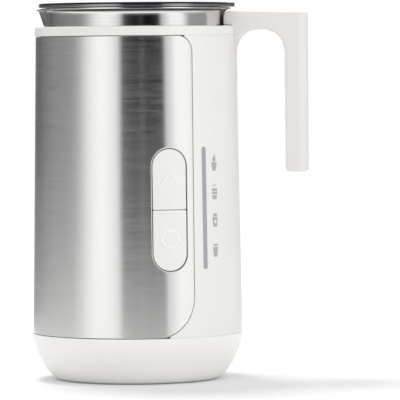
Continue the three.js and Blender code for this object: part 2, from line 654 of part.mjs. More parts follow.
/** The plate between base and body, with a spigot ring that locates the wrap and the panel. */
function chassis() {
  const spigotRadius = bodyRadius(CHASSIS_TOP + SPIGOT_HEIGHT) - PANEL_THICKNESS - GAP;
  const plate = turned([
    [0, CHASSIS_BOTTOM], [CHASSIS_RADIUS, CHASSIS_BOTTOM], [CHASSIS_RADIUS, CHASSIS_TOP],
    [spigotRadius, CHASSIS_TOP], [spigotRadius, CHASSIS_TOP + SPIGOT_HEIGHT],
    [spigotRadius - SPIGOT_THICKNESS, CHASSIS_TOP + SPIGOT_HEIGHT],
    [spigotRadius - SPIGOT_THICKNESS, CHASSIS_TOP], [0, CHASSIS_TOP],
  ], ROUND_INNER);
  const screwHoles = motorScrewPlaces.map(([x, y]) =>
    pinHole(SCREW_RADIUS, x, y, CHASSIS_BOTTOM - EXTRA, CHASSIS_TOP + EXTRA));
  return cut(plate, ...screwHoles);
}

/** The motor's can, with a nose round the shaft and blind holes for its screws. */
function motor() {
  const can = turned([
    [0, MOTOR_BOTTOM],
    [MOTOR_RADIUS, MOTOR_BOTTOM],
    [MOTOR_RADIUS, MOTOR_TOP - MOTOR_CHAMFER],
    [MOTOR_RADIUS - MOTOR_CHAMFER, MOTOR_TOP],
    [SHAFT_RADIUS * 3, MOTOR_TOP],
    [SHAFT_RADIUS * 2.5, MOTOR_TOP + MOTOR_NOSE],
    [0, MOTOR_TOP + MOTOR_NOSE],
  ], ROUND_SMALL);
  const shaftHole = pinHole(SHAFT_RADIUS, 0, 0,
    MOTOR_BOTTOM + MOTOR_HEIGHT / 2, MOTOR_TOP + MOTOR_NOSE + EXTRA);
  const screwHoles = motorScrewPlaces.map(([x, y]) =>
    pinHole(SCREW_RADIUS, x, y, MOTOR_BOTTOM - EXTRA, CHASSIS_BOTTOM + SCREW_LENGTH + EXTRA));
  return cut(can, shaftHole, ...screwHoles);
}

/** The shaft runs from inside the motor into the rotor's bore. */
function motorShaft() {
  return disc(SHAFT_RADIUS, MOTOR_BOTTOM + MOTOR_HEIGHT / 2 + GAP, ROTOR_TOP - ROTOR_CAP - GAP, ROUND_TINY);
}

const magnetPlaces = onCircle(2, MAGNET_CIRCLE);

function driveRotor() {
  const body = turned([
    [0, ROTOR_BOTTOM - ROTOR_HUB],
    [SHAFT_RADIUS * 3, ROTOR_BOTTOM - ROTOR_HUB],
    [SHAFT_RADIUS * 3, ROTOR_BOTTOM],
    [ROTOR_RADIUS, ROTOR_BOTTOM],
    [ROTOR_RADIUS, ROTOR_TOP],
    [0, ROTOR_TOP],
  ], ROUND_SMALL);
  const bore = pinHole(SHAFT_RADIUS, 0, 0, ROTOR_BOTTOM - ROTOR_HUB - EXTRA, ROTOR_TOP - ROTOR_CAP);
  const pockets = magnetPlaces.map(([x, y]) =>
    pinHole(MAGNET_RADIUS, x, y, ROTOR_TOP - MAGNET_HEIGHT - GAP, ROTOR_TOP + EXTRA));
  return cut(body, bore, ...pockets);
}

function driveMagnet(name, x, y) {
  const mesh = piece(name, disc(MAGNET_RADIUS, ROTOR_TOP - MAGNET_HEIGHT, ROTOR_TOP, ROUND_TINY), STEEL);
  mesh.position.set(x, y, 0);
  return mesh;
}

const COIL_FACETS = 24;

/** The tower round the motor, with the dish that holds the coil under the well's floor. */
function coilFormer() {
  const towerOuter = FORMER_TUBE_RADIUS + FORMER_WALL;
  const rimOuter = COIL_OUTER_RADIUS + GAP + FORMER_WALL;
  const former = ring([
    [FORMER_TUBE_RADIUS, CHASSIS_TOP + GAP],
    [towerOuter, CHASSIS_TOP + GAP],
    [towerOuter, DISH_TOP - FORMER_WALL],
    [rimOuter, DISH_TOP - FORMER_WALL],
    [rimOuter, FORMER_TOP],
    [rimOuter - FORMER_WALL, FORMER_TOP],
    [rimOuter - FORMER_WALL, DISH_TOP],
    [towerOuter, DISH_TOP],
    [towerOuter, FORMER_TOP],
    [FORMER_TUBE_RADIUS, FORMER_TOP],
  ], COIL_FACETS);
  const sensorHole = pinHole(SENSOR_RADIUS, 0, SENSOR_CIRCLE, DISH_TOP - 2 * FORMER_WALL, FORMER_TOP);
  return cut(former, sensorHole);
}

const inductionCoil = () =>
  tube(COIL_INNER_RADIUS, COIL_OUTER_RADIUS, DISH_TOP + GAP, DISH_TOP + GAP + COIL_HEIGHT, COIL_FACETS);

/** The sensor's tip reaches through the well's floor to the jug, and its collar stays under the floor. */
function temperatureSensor() {
  const collarTop = WELL_BOTTOM - GAP;
  const collarBottom = collarTop - SENSOR_COLLAR;
  return turned([
    [0, DISH_TOP - 2 * FORMER_WALL],
    [SENSOR_RADIUS, DISH_TOP - 2 * FORMER_WALL],
    [SENSOR_RADIUS, collarBottom],
    [SENSOR_RADIUS + SENSOR_COLLAR, collarBottom],
    [SENSOR_RADIUS + SENSOR_COLLAR, collarTop],
    [SENSOR_RADIUS, collarTop],
    [SENSOR_RADIUS, JUG_BOTTOM - GAP],
    [0, JUG_BOTTOM - GAP],
  ], ROUND_TINY).translate(0, SENSOR_CIRCLE, 0);
}

function heaterAndDrive() {
  return group(
    piece('chassis', chassis(), GREY),
    piece('motor', motor(), STEEL),
    ...motorScrewPlaces.map(([x, y], i) => screw(`motor_screw_${i + 1}`, x, y, CHASSIS_BOTTOM - GAP)),
    piece('motor_shaft', motorShaft(), STEEL),
    piece('drive_rotor', driveRotor(), BLACK),
    ...magnetPlaces.map(([x, y], i) => driveMagnet(`drive_magnet_${i + 1}`, x, y)),
    piece('coil_former', coilFormer(), BLACK),
    piece('induction_coil', inductionCoil(), COPPER),
    piece('temperature_sensor', temperatureSensor(), STEEL),
  );
}

// ---------------------------------------------------------------------------------------------
// Body: wrap, panel, top ring, well
// ---------------------------------------------------------------------------------------------

/**
 * Half angle of the panel about the handle at height z. Grow moves its outline outwards, along the
 * straight sides and round the wrap's corners alike.
 */
function panelHalfAngle(z, grow) {
  const straight = (90 - PANEL_HALF_ANGLE) * DEG * BODY_MIDDLE_RADIUS;
  const topCentre = BODY_TOP_FACE - CORNER_TOP_RADIUS;
  const lowCentre = BODY_BOTTOM_FACE + CORNER_LOW_RADIUS * Math.sin(CORNER_LOW_SWEEP * DEG);
  let fromFront = straight - grow;
  if (z > topCentre) {
    const rise = Math.min(z, BODY_TOP_FACE) - topCentre;
    const reach = Math.sqrt(Math.max((CORNER_TOP_RADIUS - grow) ** 2 - rise ** 2, 0));
    fromFront = straight - CORNER_TOP_RADIUS + reach;
  } else if (z < lowCentre) {
    const drop = lowCentre - Math.max(z, BODY_BOTTOM_FACE);
    const reach = Math.sqrt(Math.max((CORNER_LOW_RADIUS - grow) ** 2 - drop ** 2, 0));
    fromFront = straight - CORNER_LOW_RADIUS + reach;
  }
  return Math.PI / 2 - fromFront / BODY_MIDDLE_RADIUS;
}

/** A wedge through the housing's wall with the panel's outline. */
function panelWedge(grow) {
  const topCentre = BODY_TOP_FACE - CORNER_TOP_RADIUS;
  const lowRise = CORNER_LOW_RADIUS * Math.sin(CORNER_LOW_SWEEP * DEG);
  const lowCentre = BODY_BOTTOM_FACE + lowRise;
  const heights = [
    BODY_BOTTOM_FACE - 2,
    ...[1, 0.87, 0.72, 0.55, 0.37, 0.18, 0].map((share) => lowCentre - share * lowRise),
    ...[0, 0.3, 0.56, 0.76, 0.9, 0.975, 1].map((share) => topCentre + share * CORNER_TOP_RADIUS),
    BODY_TOP_FACE + 2,
  ];
  return fanBlock(heights, (z) => panelHalfAngle(z, grow), () => BODY_TOP_RADIUS * 0.8,
    () => BODY_FOOT_RADIUS * 1.3, 12);
}

const bodyShell = (thickness) =>
  sleeve((z) => bodyRadius(z) - thickness, bodyRadius, BODY_BOTTOM_FACE, BODY_TOP_FACE);

const TONGUE_COLUMNS = 4;

/** Half the width of the handle's tongue at height z, grown all round by a margin. */
function tongueHalfWidth(z, margin = 0) {
  const foot = RING_TOP - TONGUE_LENGTH - margin;
  const share = THREE.MathUtils.clamp((z - foot) / TONGUE_LENGTH, 0, 1);
  const straight = THREE.MathUtils.lerp(TONGUE_FOOT_HALF_WIDTH, TONGUE_HALF_WIDTH, share) + margin;
  const corner = TONGUE_CORNER + margin;
  const missing = 1 - THREE.MathUtils.clamp((z - foot) / corner, 0, 1);
  return straight - corner * (1 - Math.sqrt(1 - missing ** 2));
}

/** Heights that follow the tongue's rounded lower corners, and its straight sides up to a level. */
function tongueHeights(margin, upTo) {
  const foot = RING_TOP - TONGUE_LENGTH - margin;
  const corner = TONGUE_CORNER + margin;
  return [...[0, 0.08, 0.3, 0.6, 1].map((share) => foot + share * corner), ...upTo];
}

/** The recess in the ring and the panel that the handle's tongue lies in. */
function tongueRecess() {
  return fanBlock(tongueHeights(GAP, [BODY_TOP, RING_TOP + 1]),
    (z) => Math.asin(tongueHalfWidth(z, GAP) / BODY_TOP_RADIUS),
    (z) => bodyRadius(z) - TONGUE_DEPTH, (z) => bodyRadius(z) * 1.2, TONGUE_COLUMNS);
}

/** A rounded slot right through the wall of the housing. */
const wallSlot = (width, height, angle, z, facets) => outwardPrism(slotShape(width, height),
  BODY_TOP_RADIUS * 0.85, BODY_FOOT_RADIUS * 1.1, angle, z, facets);

/** The outline that both buttons share, grown by a margin. */
const buttonSlot = (grow) => wallSlot(BUTTON_WIDTH + 2 * grow, BUTTON_PAIR_HEIGHT + 2 * grow,
  BUTTON_ANGLE, CONTROL_HEIGHT, SLOT_FACETS);

/** The light bar's outline, grown by a margin. */
const lightSlot = (grow) => wallSlot(LIGHT_WIDTH + 2 * grow, LIGHT_LENGTH + 2 * grow,
  LIGHT_ANGLE, LIGHT_HEIGHT, SLOT_FACETS_SMALL);

function steelWrap() {
  return cut(bodyShell(WRAP_THICKNESS), panelWedge(0), buttonSlot(BUTTON_GAP));
}

function controlPanel() {
  return cut(common(bodyShell(PANEL_THICKNESS), panelWedge(-SEAM)), lightSlot(GAP), tongueRecess());
}

const SKIRT_OUTER = bodyRadius(BODY_TOP) - PANEL_THICKNESS - GAP;
const SKIRT_INNER = wellOuterRadius(BODY_TOP) + GAP;

/** The top ring: a mouth that narrows down to the well, and a skirt between the well and the panel. */
function topRing() {
  const mouth = wellInnerRadius(BODY_TOP) + GAP;
  const body = ring([
    [BODY_TOP_RADIUS, RING_BOTTOM_FACE],
    [BODY_TOP_RADIUS, RING_TOP - RING_EDGE],
    [BODY_TOP_RADIUS - RING_EDGE, RING_TOP],
    [mouth + LEAD_IN, RING_TOP],
    [mouth, RING_BOTTOM_FACE],
    [SKIRT_INNER, RING_BOTTOM_FACE],
    [SKIRT_INNER, BODY_TOP - SKIRT_HEIGHT],
    [SKIRT_OUTER, BODY_TOP - SKIRT_HEIGHT],
    [SKIRT_OUTER, RING_BOTTOM_FACE],
  ]);
  return cut(body, tongueRecess());
}

/** The well that the jug stands in. */
function jugWell() {
  const floorTop = JUG_BOTTOM - GAP;
  const top = RING_BOTTOM_FACE - GAP;
  const turn = JUG_FOOT_ROUND;
  const innerFoot = wellInnerRadius(floorTop + turn);
  const outerFoot = wellOuterRadius(floorTop + turn);
  const well = turned([
    [0, WELL_BOTTOM],
    ...arc(outerFoot - turn, WELL_BOTTOM + turn, turn, -90, 0, 2),
    [wellOuterRadius(top), top],
    [wellInnerRadius(top), top],
    ...arc(innerFoot - turn, floorTop + turn, turn, 0, -90, 2),
    [0, floorTop],
  ], ROUND_INNER);
  const sensorHole = pinHole(SENSOR_RADIUS, 0, SENSOR_CIRCLE, WELL_BOTTOM - EXTRA, floorTop + EXTRA);
  return cut(well, sensorHole);
}

function body() {
  return group(
    piece('steel_wrap', steelWrap(), BRUSHED),
    piece('control_panel', controlPanel(), WHITE),
    piece('top_ring', topRing(), WHITE),
    piece('jug_well', jugWell(), GREY),
  );
}

// ---------------------------------------------------------------------------------------------
// Controls: buttons, frame, boards, light bar
// ---------------------------------------------------------------------------------------------

const CONTROL_REACH = BUTTON_PAIR_HEIGHT / 2 + BUTTON_LIP + RUNNING_GAP + FRAME_WALL;
const CONTROL_TOP = CONTROL_HEIGHT + CONTROL_REACH;
const CONTROL_BOTTOM = CONTROL_HEIGHT - CONTROL_REACH;
const CONTROL_BOARD_FACE = wellOuterRadius(CONTROL_HEIGHT + CONTROL_BOARD_HEIGHT / 2) + GAP;
const SWITCH_FACE = CONTROL_BOARD_FACE + CONTROL_BOARD_THICKNESS + GAP;
const SWITCH_TOP = SWITCH_FACE + SWITCH_HEIGHT + SWITCH_TIP_HEIGHT;
const buttonOuterAt = (z) => bodyRadius(z) + BUTTON_PROUD;
const flangeOuterAt = (z) => bodyRadius(z) - WRAP_THICKNESS - GAP;
const flangeInnerAt = (z) => flangeOuterAt(z) - BUTTON_FLANGE;

/** One half of the button pair: side is 1 for the upper half and -1 for the lower. */
function button(side) {
  const cap = common(sleeve(flangeInnerAt, buttonOuterAt, CONTROL_BOTTOM, CONTROL_TOP), buttonSlot(0));
  const flange = common(sleeve(flangeInnerAt, flangeOuterAt, CONTROL_BOTTOM, CONTROL_TOP),
    buttonSlot(BUTTON_LIP));
  const plungerHeight = CONTROL_HEIGHT + side * BUTTON_PAIR_HEIGHT / 4;
  const plunger = outwards(disc(PLUNGER_RADIUS, SWITCH_TOP + BUTTON_TRAVEL + GAP / 2,
    flangeInnerAt(plungerHeight) + BUTTON_FLANGE / 2, ROUND_TINY), 0, plungerHeight, BUTTON_ANGLE);
  const reach = BUTTON_PAIR_HEIGHT;
  const halfSpace = block(4 * BODY_FOOT_RADIUS, 4 * BODY_FOOT_RADIUS, reach,
    0, 0, CONTROL_HEIGHT + side * (reach / 2 + BUTTON_SPLIT / 2));
  return common(join(cap, flange, plunger), halfSpace);
}

/** The frame round the buttons' flanges, between the well and the wrap. */
function buttonFrame() {
  const wall = sleeve((z) => wellOuterRadius(z) + GAP, flangeOuterAt,
    CONTROL_BOTTOM - EXTRA, CONTROL_TOP + EXTRA, ROUND_INNER);
  const opening = BUTTON_LIP + RUNNING_GAP;
  return cut(common(wall, buttonSlot(opening + FRAME_WALL)), buttonSlot(opening));
}

function tactSwitch(name, side) {
  const base = block(SWITCH_HEIGHT, SWITCH_SIZE, SWITCH_SIZE, SWITCH_FACE + SWITCH_HEIGHT / 2);
  const tip = disc(SWITCH_TIP_RADIUS, SWITCH_FACE + SWITCH_HEIGHT / 2, SWITCH_TOP, ROUND_TINY)
    .rotateY(Math.PI / 2);
  const mesh = piece(name, join(base, tip), BLACK);
  mesh.position.z = side * BUTTON_PAIR_HEIGHT / 4;
  return mesh;
}

/** The boards and switches stand in a group that is turned to face out through the buttons. */
function buttonElectronics() {
  const facing = group(
    piece('control_board', block(CONTROL_BOARD_THICKNESS, CONTROL_BOARD_WIDTH, CONTROL_BOARD_HEIGHT,
      CONTROL_BOARD_FACE + CONTROL_BOARD_THICKNESS / 2), BOARD),
    tactSwitch('program_switch', 1),
    tactSwitch('start_switch', -1),
  );
  facing.position.z = CONTROL_HEIGHT;
  facing.rotation.z = BUTTON_ANGLE * DEG;
  return facing;
}

/** The lens fills its slot in the panel, and its flange lies behind the panel. */
function lightBar() {
  const top = LIGHT_HEIGHT + LIGHT_LENGTH / 2 + LIGHT_FLANGE + EXTRA;
  const bottom = LIGHT_HEIGHT - LIGHT_LENGTH / 2 - LIGHT_FLANGE - EXTRA;
  const backAt = (z) => bodyRadius(z) - PANEL_THICKNESS - GAP;
  const innerAt = (z) => backAt(z) - LIGHT_FLANGE / 2;
  const lens = common(sleeve(innerAt, bodyRadius, bottom, top), lightSlot(0));
  const flange = common(sleeve(innerAt, backAt, bottom, top), lightSlot(LIGHT_FLANGE));
  return join(lens, flange);
}

function lightBoard() {
  const face = wellOuterRadius(LIGHT_HEIGHT + LIGHT_LENGTH / 2) + GAP;
  const mesh = piece('light_board', block(CONTROL_BOARD_THICKNESS, LIGHT_BOARD_WIDTH, LIGHT_LENGTH,
    face + CONTROL_BOARD_THICKNESS / 2), BOARD);
  mesh.position.z = LIGHT_HEIGHT;
  const facing = group(mesh);
  facing.rotation.z = LIGHT_ANGLE * DEG;
  return facing;
}

function controls() {
  return group(
    piece('program_button', button(1), WHITE),
    piece('start_button', button(-1), WHITE),
    piece('button_frame', buttonFrame(), BLACK),
    piece('light_bar', lightBar(), LIGHT_LENS),
    buttonElectronics(),
    lightBoard(),
  );
}

// ---------------------------------------------------------------------------------------------
// Jug with its spindle, handle and bracket
// ---------------------------------------------------------------------------------------------

const JUG_COLUMNS = 44; // facets round the jug, a multiple of 4
const SPOUT_COLUMNS = 3; // of them on each side of the keel

/** How far the beak's keel stands beyond the neck at height z. */
function keelReach(z) {
  const share = THREE.MathUtils.clamp((z - RIM_TOP + SPOUT_DEPTH) / (SPOUT_DEPTH - JUG_WALL / 2), 0, 1);
  return SPOUT_REACH * share ** SPOUT_CURVE;
}

/** Radius of the beak's flat side at an angle from the keel, between the keel and the fold. */
function beakRadius(angle, z) {
  const fold = SPOUT_HALF_ANGLE * DEG;
  const neck = jugRadius(z);
  const tip = neck + keelReach(z);
  const slope = (tip - neck * Math.cos(fold)) / (neck * Math.sin(fold));
  return tip / (Math.cos(angle) + Math.sin(Math.abs(angle)) * slope);
}

/**
 * Reshapes a turned jug: its columns close up towards the spout, its neck is drawn out into a beak
 * between two folds, and its rim is pulled out and down over the beak.
 */
function drawSpout(geometry) {
  const position = geometry.getAttribute('position');
  const spoutSpan = 1.5 * SPOUT_HALF_ANGLE * DEG;
  const otherStep = (Math.PI - spoutSpan) / (JUG_COLUMNS / 2 - SPOUT_COLUMNS);
  for (let i = 0; i < position.count; i += 1) {
    const [x, y, z] = [position.getX(i), position.getY(i), position.getZ(i)];
    const radius = Math.hypot(x, y);
    if (radius < 1e-6) continue;
    const column = Math.round(Math.atan2(-y, -x) / (2 * Math.PI) * JUG_COLUMNS);
    const steps = Math.abs(column);
    const size = steps <= SPOUT_COLUMNS
      ? steps * spoutSpan / SPOUT_COLUMNS
      : spoutSpan + (steps - SPOUT_COLUMNS) * otherStep;
    const angle = Math.sign(column) * size;
    const flare = THREE.MathUtils.clamp((radius - JUG_NECK_RADIUS) / (RIM_RADIUS - JUG_NECK_RADIUS), 0, 1);
    const bell = 0.5 + 0.5 * Math.cos(Math.min(size / (2 * spoutSpan), 1) * Math.PI);
    const lipRadius = JUG_NECK_RADIUS + SPOUT_REACH + SPOUT_LIP;
    const pulled = radius + (lipRadius - RIM_RADIUS) * bell * flare ** 2;
    const isInside = radius < jugRadius(z) - JUG_WALL / 2 || (z > RIM_TOP - JUG_WALL / 2 && flare < 1);
    const beak = beakRadius(angle, z) - (isInside ? JUG_WALL : 0);
    const inBeak = size < SPOUT_HALF_ANGLE * DEG * 1.001 && keelReach(z) > 0;
    const reshaped = inBeak ? Math.max(pulled, beak) : pulled;
    const droop = SPOUT_DROOP * bell * flare ** 2;
    position.setXYZ(i, -reshaped * Math.cos(angle), -reshaped * Math.sin(angle), z - droop);
  }
  return geometry;
}

/** The jug: one sheet of steel with a rounded foot, a flared rim and a beak. */
function jugGeometry() {
  const flareCentre = JUG_NECK_RADIUS + FLARE_RADIUS;
  const footInner = JUG_FOOT_ROUND - JUG_WALL;
  const neckHeights = [1, 0.5].map((share) =>
    THREE.MathUtils.lerp(NECK_TOP, RIM_TOP - SPOUT_DEPTH, share));
  return drawSpout(turned([
    [0, JUG_BOTTOM],
    ...arc(JUG_FOOT_RADIUS - JUG_FOOT_ROUND, JUG_BOTTOM + JUG_FOOT_ROUND, JUG_FOOT_ROUND, -90, 0, 2),
    ...neckHeights.map((z) => [jugRadius(z), z]),
    ...arc(flareCentre, NECK_TOP, FLARE_RADIUS, 180, 90, 3),
    [RIM_RADIUS, RIM_TOP - JUG_WALL],
    [RIM_RADIUS, RIM_TOP],
    ...arc(flareCentre, NECK_TOP, FLARE_RADIUS + JUG_WALL, 90, 180, 3),
    ...neckHeights.slice().reverse().map((z) => [jugRadius(z) - JUG_WALL, z]),
    ...arc(JUG_FOOT_RADIUS - JUG_FOOT_ROUND, JUG_BOTTOM + JUG_FOOT_ROUND, footInner, 0, -90, 2),
    [0, JUG_FLOOR_TOP],
  ], JUG_COLUMNS));
}

const SPINDLE_BOTTOM = JUG_FLOOR_TOP + GAP;
const SPINDLE_TOP = SPINDLE_BOTTOM + SPINDLE_HEIGHT;

/** The post on the jug's floor that the whisk stands on. */
const whiskSpindle = () => turned([
  [0, SPINDLE_BOTTOM],
  [SPINDLE_FOOT_RADIUS, SPINDLE_BOTTOM],
  [SPINDLE_FOOT_RADIUS, SPINDLE_BOTTOM + SPINDLE_FOOT_HEIGHT / 2],
  [SPINDLE_RADIUS, SPINDLE_BOTTOM + SPINDLE_FOOT_HEIGHT],
  [SPINDLE_RADIUS, SPINDLE_TOP - SPINDLE_RADIUS / 2],
  [SPINDLE_RADIUS / 2, SPINDLE_TOP],
  [0, SPINDLE_TOP],
], ROUND_TINY);

const GRIP_INNER = HANDLE_OUTER - GRIP_THICKNESS;
const ARCH_TOP = RING_TOP - ARCH_DROP;
const ARCH_SPRING = ARCH_TOP - ARCH_RISE;
const ARCH_INNER = bodyRadius(ARCH_SPRING) + TONGUE_PROUD;
const ARCH_CENTRE = (ARCH_INNER + GRIP_INNER) / 2;
const ARM_BOTTOM = RING_TOP + ARM_LIFT;
const ARM_TOP = RING_TOP + ARM_HEIGHT + ARM_LIFT;
const BRACKET_LEVEL = (ARM_BOTTOM + ARM_TOP) / 2 - BRACKET_DROP;
const handleScrewPlaces = [-1, 1].map((side) => ARCH_CENTRE + side * BRACKET_SCREW_SPACING / 2);
const HANDLE_SCREW_SEAT = ARCH_TOP + SCREW_HEAD_HEIGHT + GAP / 2;

/** The arch's leg beside the housing: from its spring up to the crown. */
const archLeg = new THREE.CubicBezierCurve(
  new THREE.Vector2(ARCH_INNER, ARCH_SPRING),
  new THREE.Vector2(ARCH_INNER, ARCH_SPRING + ARCH_FULLNESS * ARCH_RISE),
  new THREE.Vector2(ARCH_CENTRE - ARCH_FULLNESS * (ARCH_CENTRE - ARCH_INNER), ARCH_TOP),
  new THREE.Vector2(ARCH_CENTRE, ARCH_TOP),
);

/** The side view of the arm and the grip, from the neck over the arch and down. */
function handleProfile() {
  const root = Math.sqrt(JUG_NECK_RADIUS ** 2 - (HANDLE_WIDTH / 2) ** 2);
  const armEnd = ARM_TOP - ARM_FALL;
  const shape = new THREE.Shape();
  shape.moveTo(root, ARM_BOTTOM);
  shape.lineTo(root, ARM_TOP - ARM_ROOT_ROUND);
  shape.absarc(root + ARM_ROOT_ROUND, ARM_TOP - ARM_ROOT_ROUND, ARM_ROOT_ROUND, Math.PI, Math.PI / 2, true);
  shape.lineTo(HANDLE_OUTER - GRIP_CORNER / 2, armEnd);
  shape.lineTo(HANDLE_OUTER, armEnd - GRIP_CORNER / 2);
  shape.lineTo(HANDLE_OUTER, GRIP_BOTTOM + GRIP_BULGE + GRIP_CORNER);
  shape.quadraticCurveTo(HANDLE_OUTER, GRIP_BOTTOM + GRIP_BULGE,
    HANDLE_OUTER - GRIP_CORNER, GRIP_BOTTOM + GRIP_BULGE / 2);
  shape.quadraticCurveTo((HANDLE_OUTER + GRIP_INNER) / 2, GRIP_BOTTOM - GRIP_BULGE / 2,
    GRIP_INNER + GRIP_CORNER, GRIP_BOTTOM + GRIP_BULGE / 2);
  shape.quadraticCurveTo(GRIP_INNER, GRIP_BOTTOM + GRIP_BULGE,
    GRIP_INNER, GRIP_BOTTOM + GRIP_BULGE + GRIP_CORNER);
  shape.lineTo(GRIP_INNER, ARCH_SPRING);
  shape.bezierCurveTo(GRIP_INNER, ARCH_SPRING + ARCH_FULLNESS * ARCH_RISE,
    ARCH_CENTRE + ARCH_FULLNESS * (GRIP_INNER - ARCH_CENTRE), ARCH_TOP, ARCH_CENTRE, ARCH_TOP);
  shape.lineTo(ARCH_CENTRE, ARM_BOTTOM);
  return shape;
}

/** The leg and its tongue, concentric with the housing, that slide down outside the ring and the panel. */
function handleLeg() {
  const innerAt = (z) => bodyRadius(z) - TONGUE_DEPTH + GAP;
  const archHeights = archLeg.getPoints(5).map((point) => point.y);
  const heights = tongueHeights(0, [...archHeights, ARM_BOTTOM + EXTRA]);
  const outerAt = (z) => {
    if (z <= ARCH_SPRING) return bodyRadius(z) + TONGUE_PROUD;
    return z < ARCH_TOP ? curveAt(archLeg, z) : ARCH_CENTRE + BRACKET_SCREW_SPACING / 3;
  };
  const halfAngleAt = (z) => Math.asin(tongueHalfWidth(z) / BODY_TOP_RADIUS);
  const fan = fanBlock(heights, halfAngleAt, innerAt, outerAt, TONGUE_COLUMNS);
  return common(fan, block(4 * HANDLE_OUTER, HANDLE_WIDTH, 4 * RIM_TOP));
}

/** The space that the jug's neck and flare take, with a clearance. */
function neckEnvelope() {
  const flareCentre = JUG_NECK_RADIUS + FLARE_RADIUS;
  return turned([
    [0, ARM_BOTTOM - GAP],
    [JUG_NECK_RADIUS + GAP, ARM_BOTTOM - GAP],
    ...arc(flareCentre, NECK_TOP, FLARE_RADIUS - GAP, 180, 90, 3),
    [RIM_RADIUS + GAP, NECK_TOP + FLARE_RADIUS - GAP],
    [RIM_RADIUS + GAP, RIM_TOP + EXTRA],
    [0, RIM_TOP + EXTRA],
  ]);
}

/** The view of the handle from above, with the grip's outer edges rounded. */
function handlePlan() {
  const half = HANDLE_WIDTH / 2;
  const turn = HANDLE_OUTER - GRIP_EDGE_ROUND;
  const shape = new THREE.Shape();
  shape.moveTo(0, -half);
  shape.lineTo(turn, -half);
  shape.absarc(turn, GRIP_EDGE_ROUND - half, GRIP_EDGE_ROUND, -Math.PI / 2, 0);
  shape.absarc(turn, half - GRIP_EDGE_ROUND, GRIP_EDGE_ROUND, 0, Math.PI / 2);
  shape.lineTo(0, half);
  return shape;
}

/** The handle, hollowed for its bracket and screws. */
function handle() {
  const profile = new THREE.ExtrudeGeometry(handleProfile(), {
    depth: HANDLE_WIDTH - 2 * EDGE_ROUND, bevelEnabled: true, bevelThickness: EDGE_ROUND,
    bevelSize: EDGE_ROUND, bevelOffset: -EDGE_ROUND, bevelSegments: 2, curveSegments: 4,
  }).rotateX(Math.PI / 2).translate(0, HANDLE_WIDTH / 2 - EDGE_ROUND, 0);
  const plan = new THREE.ExtrudeGeometry(handlePlan(), {
    depth: 2 * RIM_TOP, bevelEnabled: false, curveSegments: 3,
  });
  const strapPocket = common(
    disc(JUG_NECK_RADIUS + 2 * GAP + BRACKET_THICKNESS, BRACKET_LEVEL - BRACKET_HEIGHT / 2 - GAP,
      BRACKET_LEVEL + BRACKET_HEIGHT / 2 + GAP, ROUND),
    block(4 * HANDLE_OUTER, 2 * (BRACKET_HALF_WIDTH + GAP), 4 * RIM_TOP),
  );
  const tabEnd = bracketTabEnd() + GAP;
  const tabSlot = block(tabEnd, 2 * (BRACKET_TAB_HALF_WIDTH + GAP), BRACKET_THICKNESS + 2 * GAP,
    tabEnd / 2, 0, BRACKET_LEVEL);
  const screwCuts = handleScrewPlaces.map((x) =>
    screwCut(x, 0, HANDLE_SCREW_SEAT, SCREW_LENGTH + GAP, 4 * SCREW_HEAD_HEIGHT));
  const solid = common(join(profile, handleLeg()), plan);
  return cut(solid, neckEnvelope(), strapPocket, tabSlot, ...screwCuts);
}

function bracketTabEnd() {
  return handleScrewPlaces[1] + BRACKET_END;
}

/** The strap on the jug's neck and the tab that the handle is screwed to. */
function handleBracket() {
  const inner = JUG_NECK_RADIUS + GAP;
  const strap = common(
    tube(inner, inner + BRACKET_THICKNESS, BRACKET_LEVEL - BRACKET_HEIGHT / 2,
      BRACKET_LEVEL + BRACKET_HEIGHT / 2, ROUND),
    block(2 * inner, 2 * BRACKET_HALF_WIDTH, 4 * RIM_TOP, 1.5 * inner),
  );
  const tabStart = inner + BRACKET_THICKNESS / 2;
  const tab = block(bracketTabEnd() - tabStart, 2 * BRACKET_TAB_HALF_WIDTH, BRACKET_THICKNESS,
    (bracketTabEnd() + tabStart) / 2, 0, BRACKET_LEVEL);
  const holes = handleScrewPlaces.map((x) =>
    pinHole(SCREW_RADIUS, x, 0, BRACKET_LEVEL - BRACKET_THICKNESS, BRACKET_LEVEL + BRACKET_THICKNESS));
  return cut(join(strap, tab), ...holes);
}

function jug() {
  return group(
    piece('jug', jugGeometry(), POLISHED),
    piece('whisk_spindle', whiskSpindle(), STEEL),
    piece('handle', handle(), WHITE),
    piece('handle_bracket', handleBracket(), STEEL),
    ...handleScrewPlaces.map((x, i) => screw(`handle_screw_${i + 1}`, x, 0, HANDLE_SCREW_SEAT - GAP)),
  );
}

// ---------------------------------------------------------------------------------------------
// Lid
// ---------------------------------------------------------------------------------------------

/** The outline of a disc with rounded edges at the lid's level. */
const lidOutline = (radius) => [
  [0, LID_BOTTOM], [radius - LID_EDGE, LID_BOTTOM], [radius, LID_BOTTOM + LID_EDGE],
  [radius, LID_TOP - LID_EDGE], [radius - LID_EDGE, LID_TOP], [0, LID_TOP],
];

const SEAL_OUTER = jugRadius(NECK_TOP) - JUG_WALL - GAP;
const LID_SKIRT_OUTER = SEAL_OUTER - SEAL_THICKNESS - GAP;
const LID_SKIRT_BOTTOM = LID_BOTTOM - LID_SKIRT_DEPTH;
const SEAL_BOTTOM = LID_SKIRT_BOTTOM + LID_RIB + GAP;

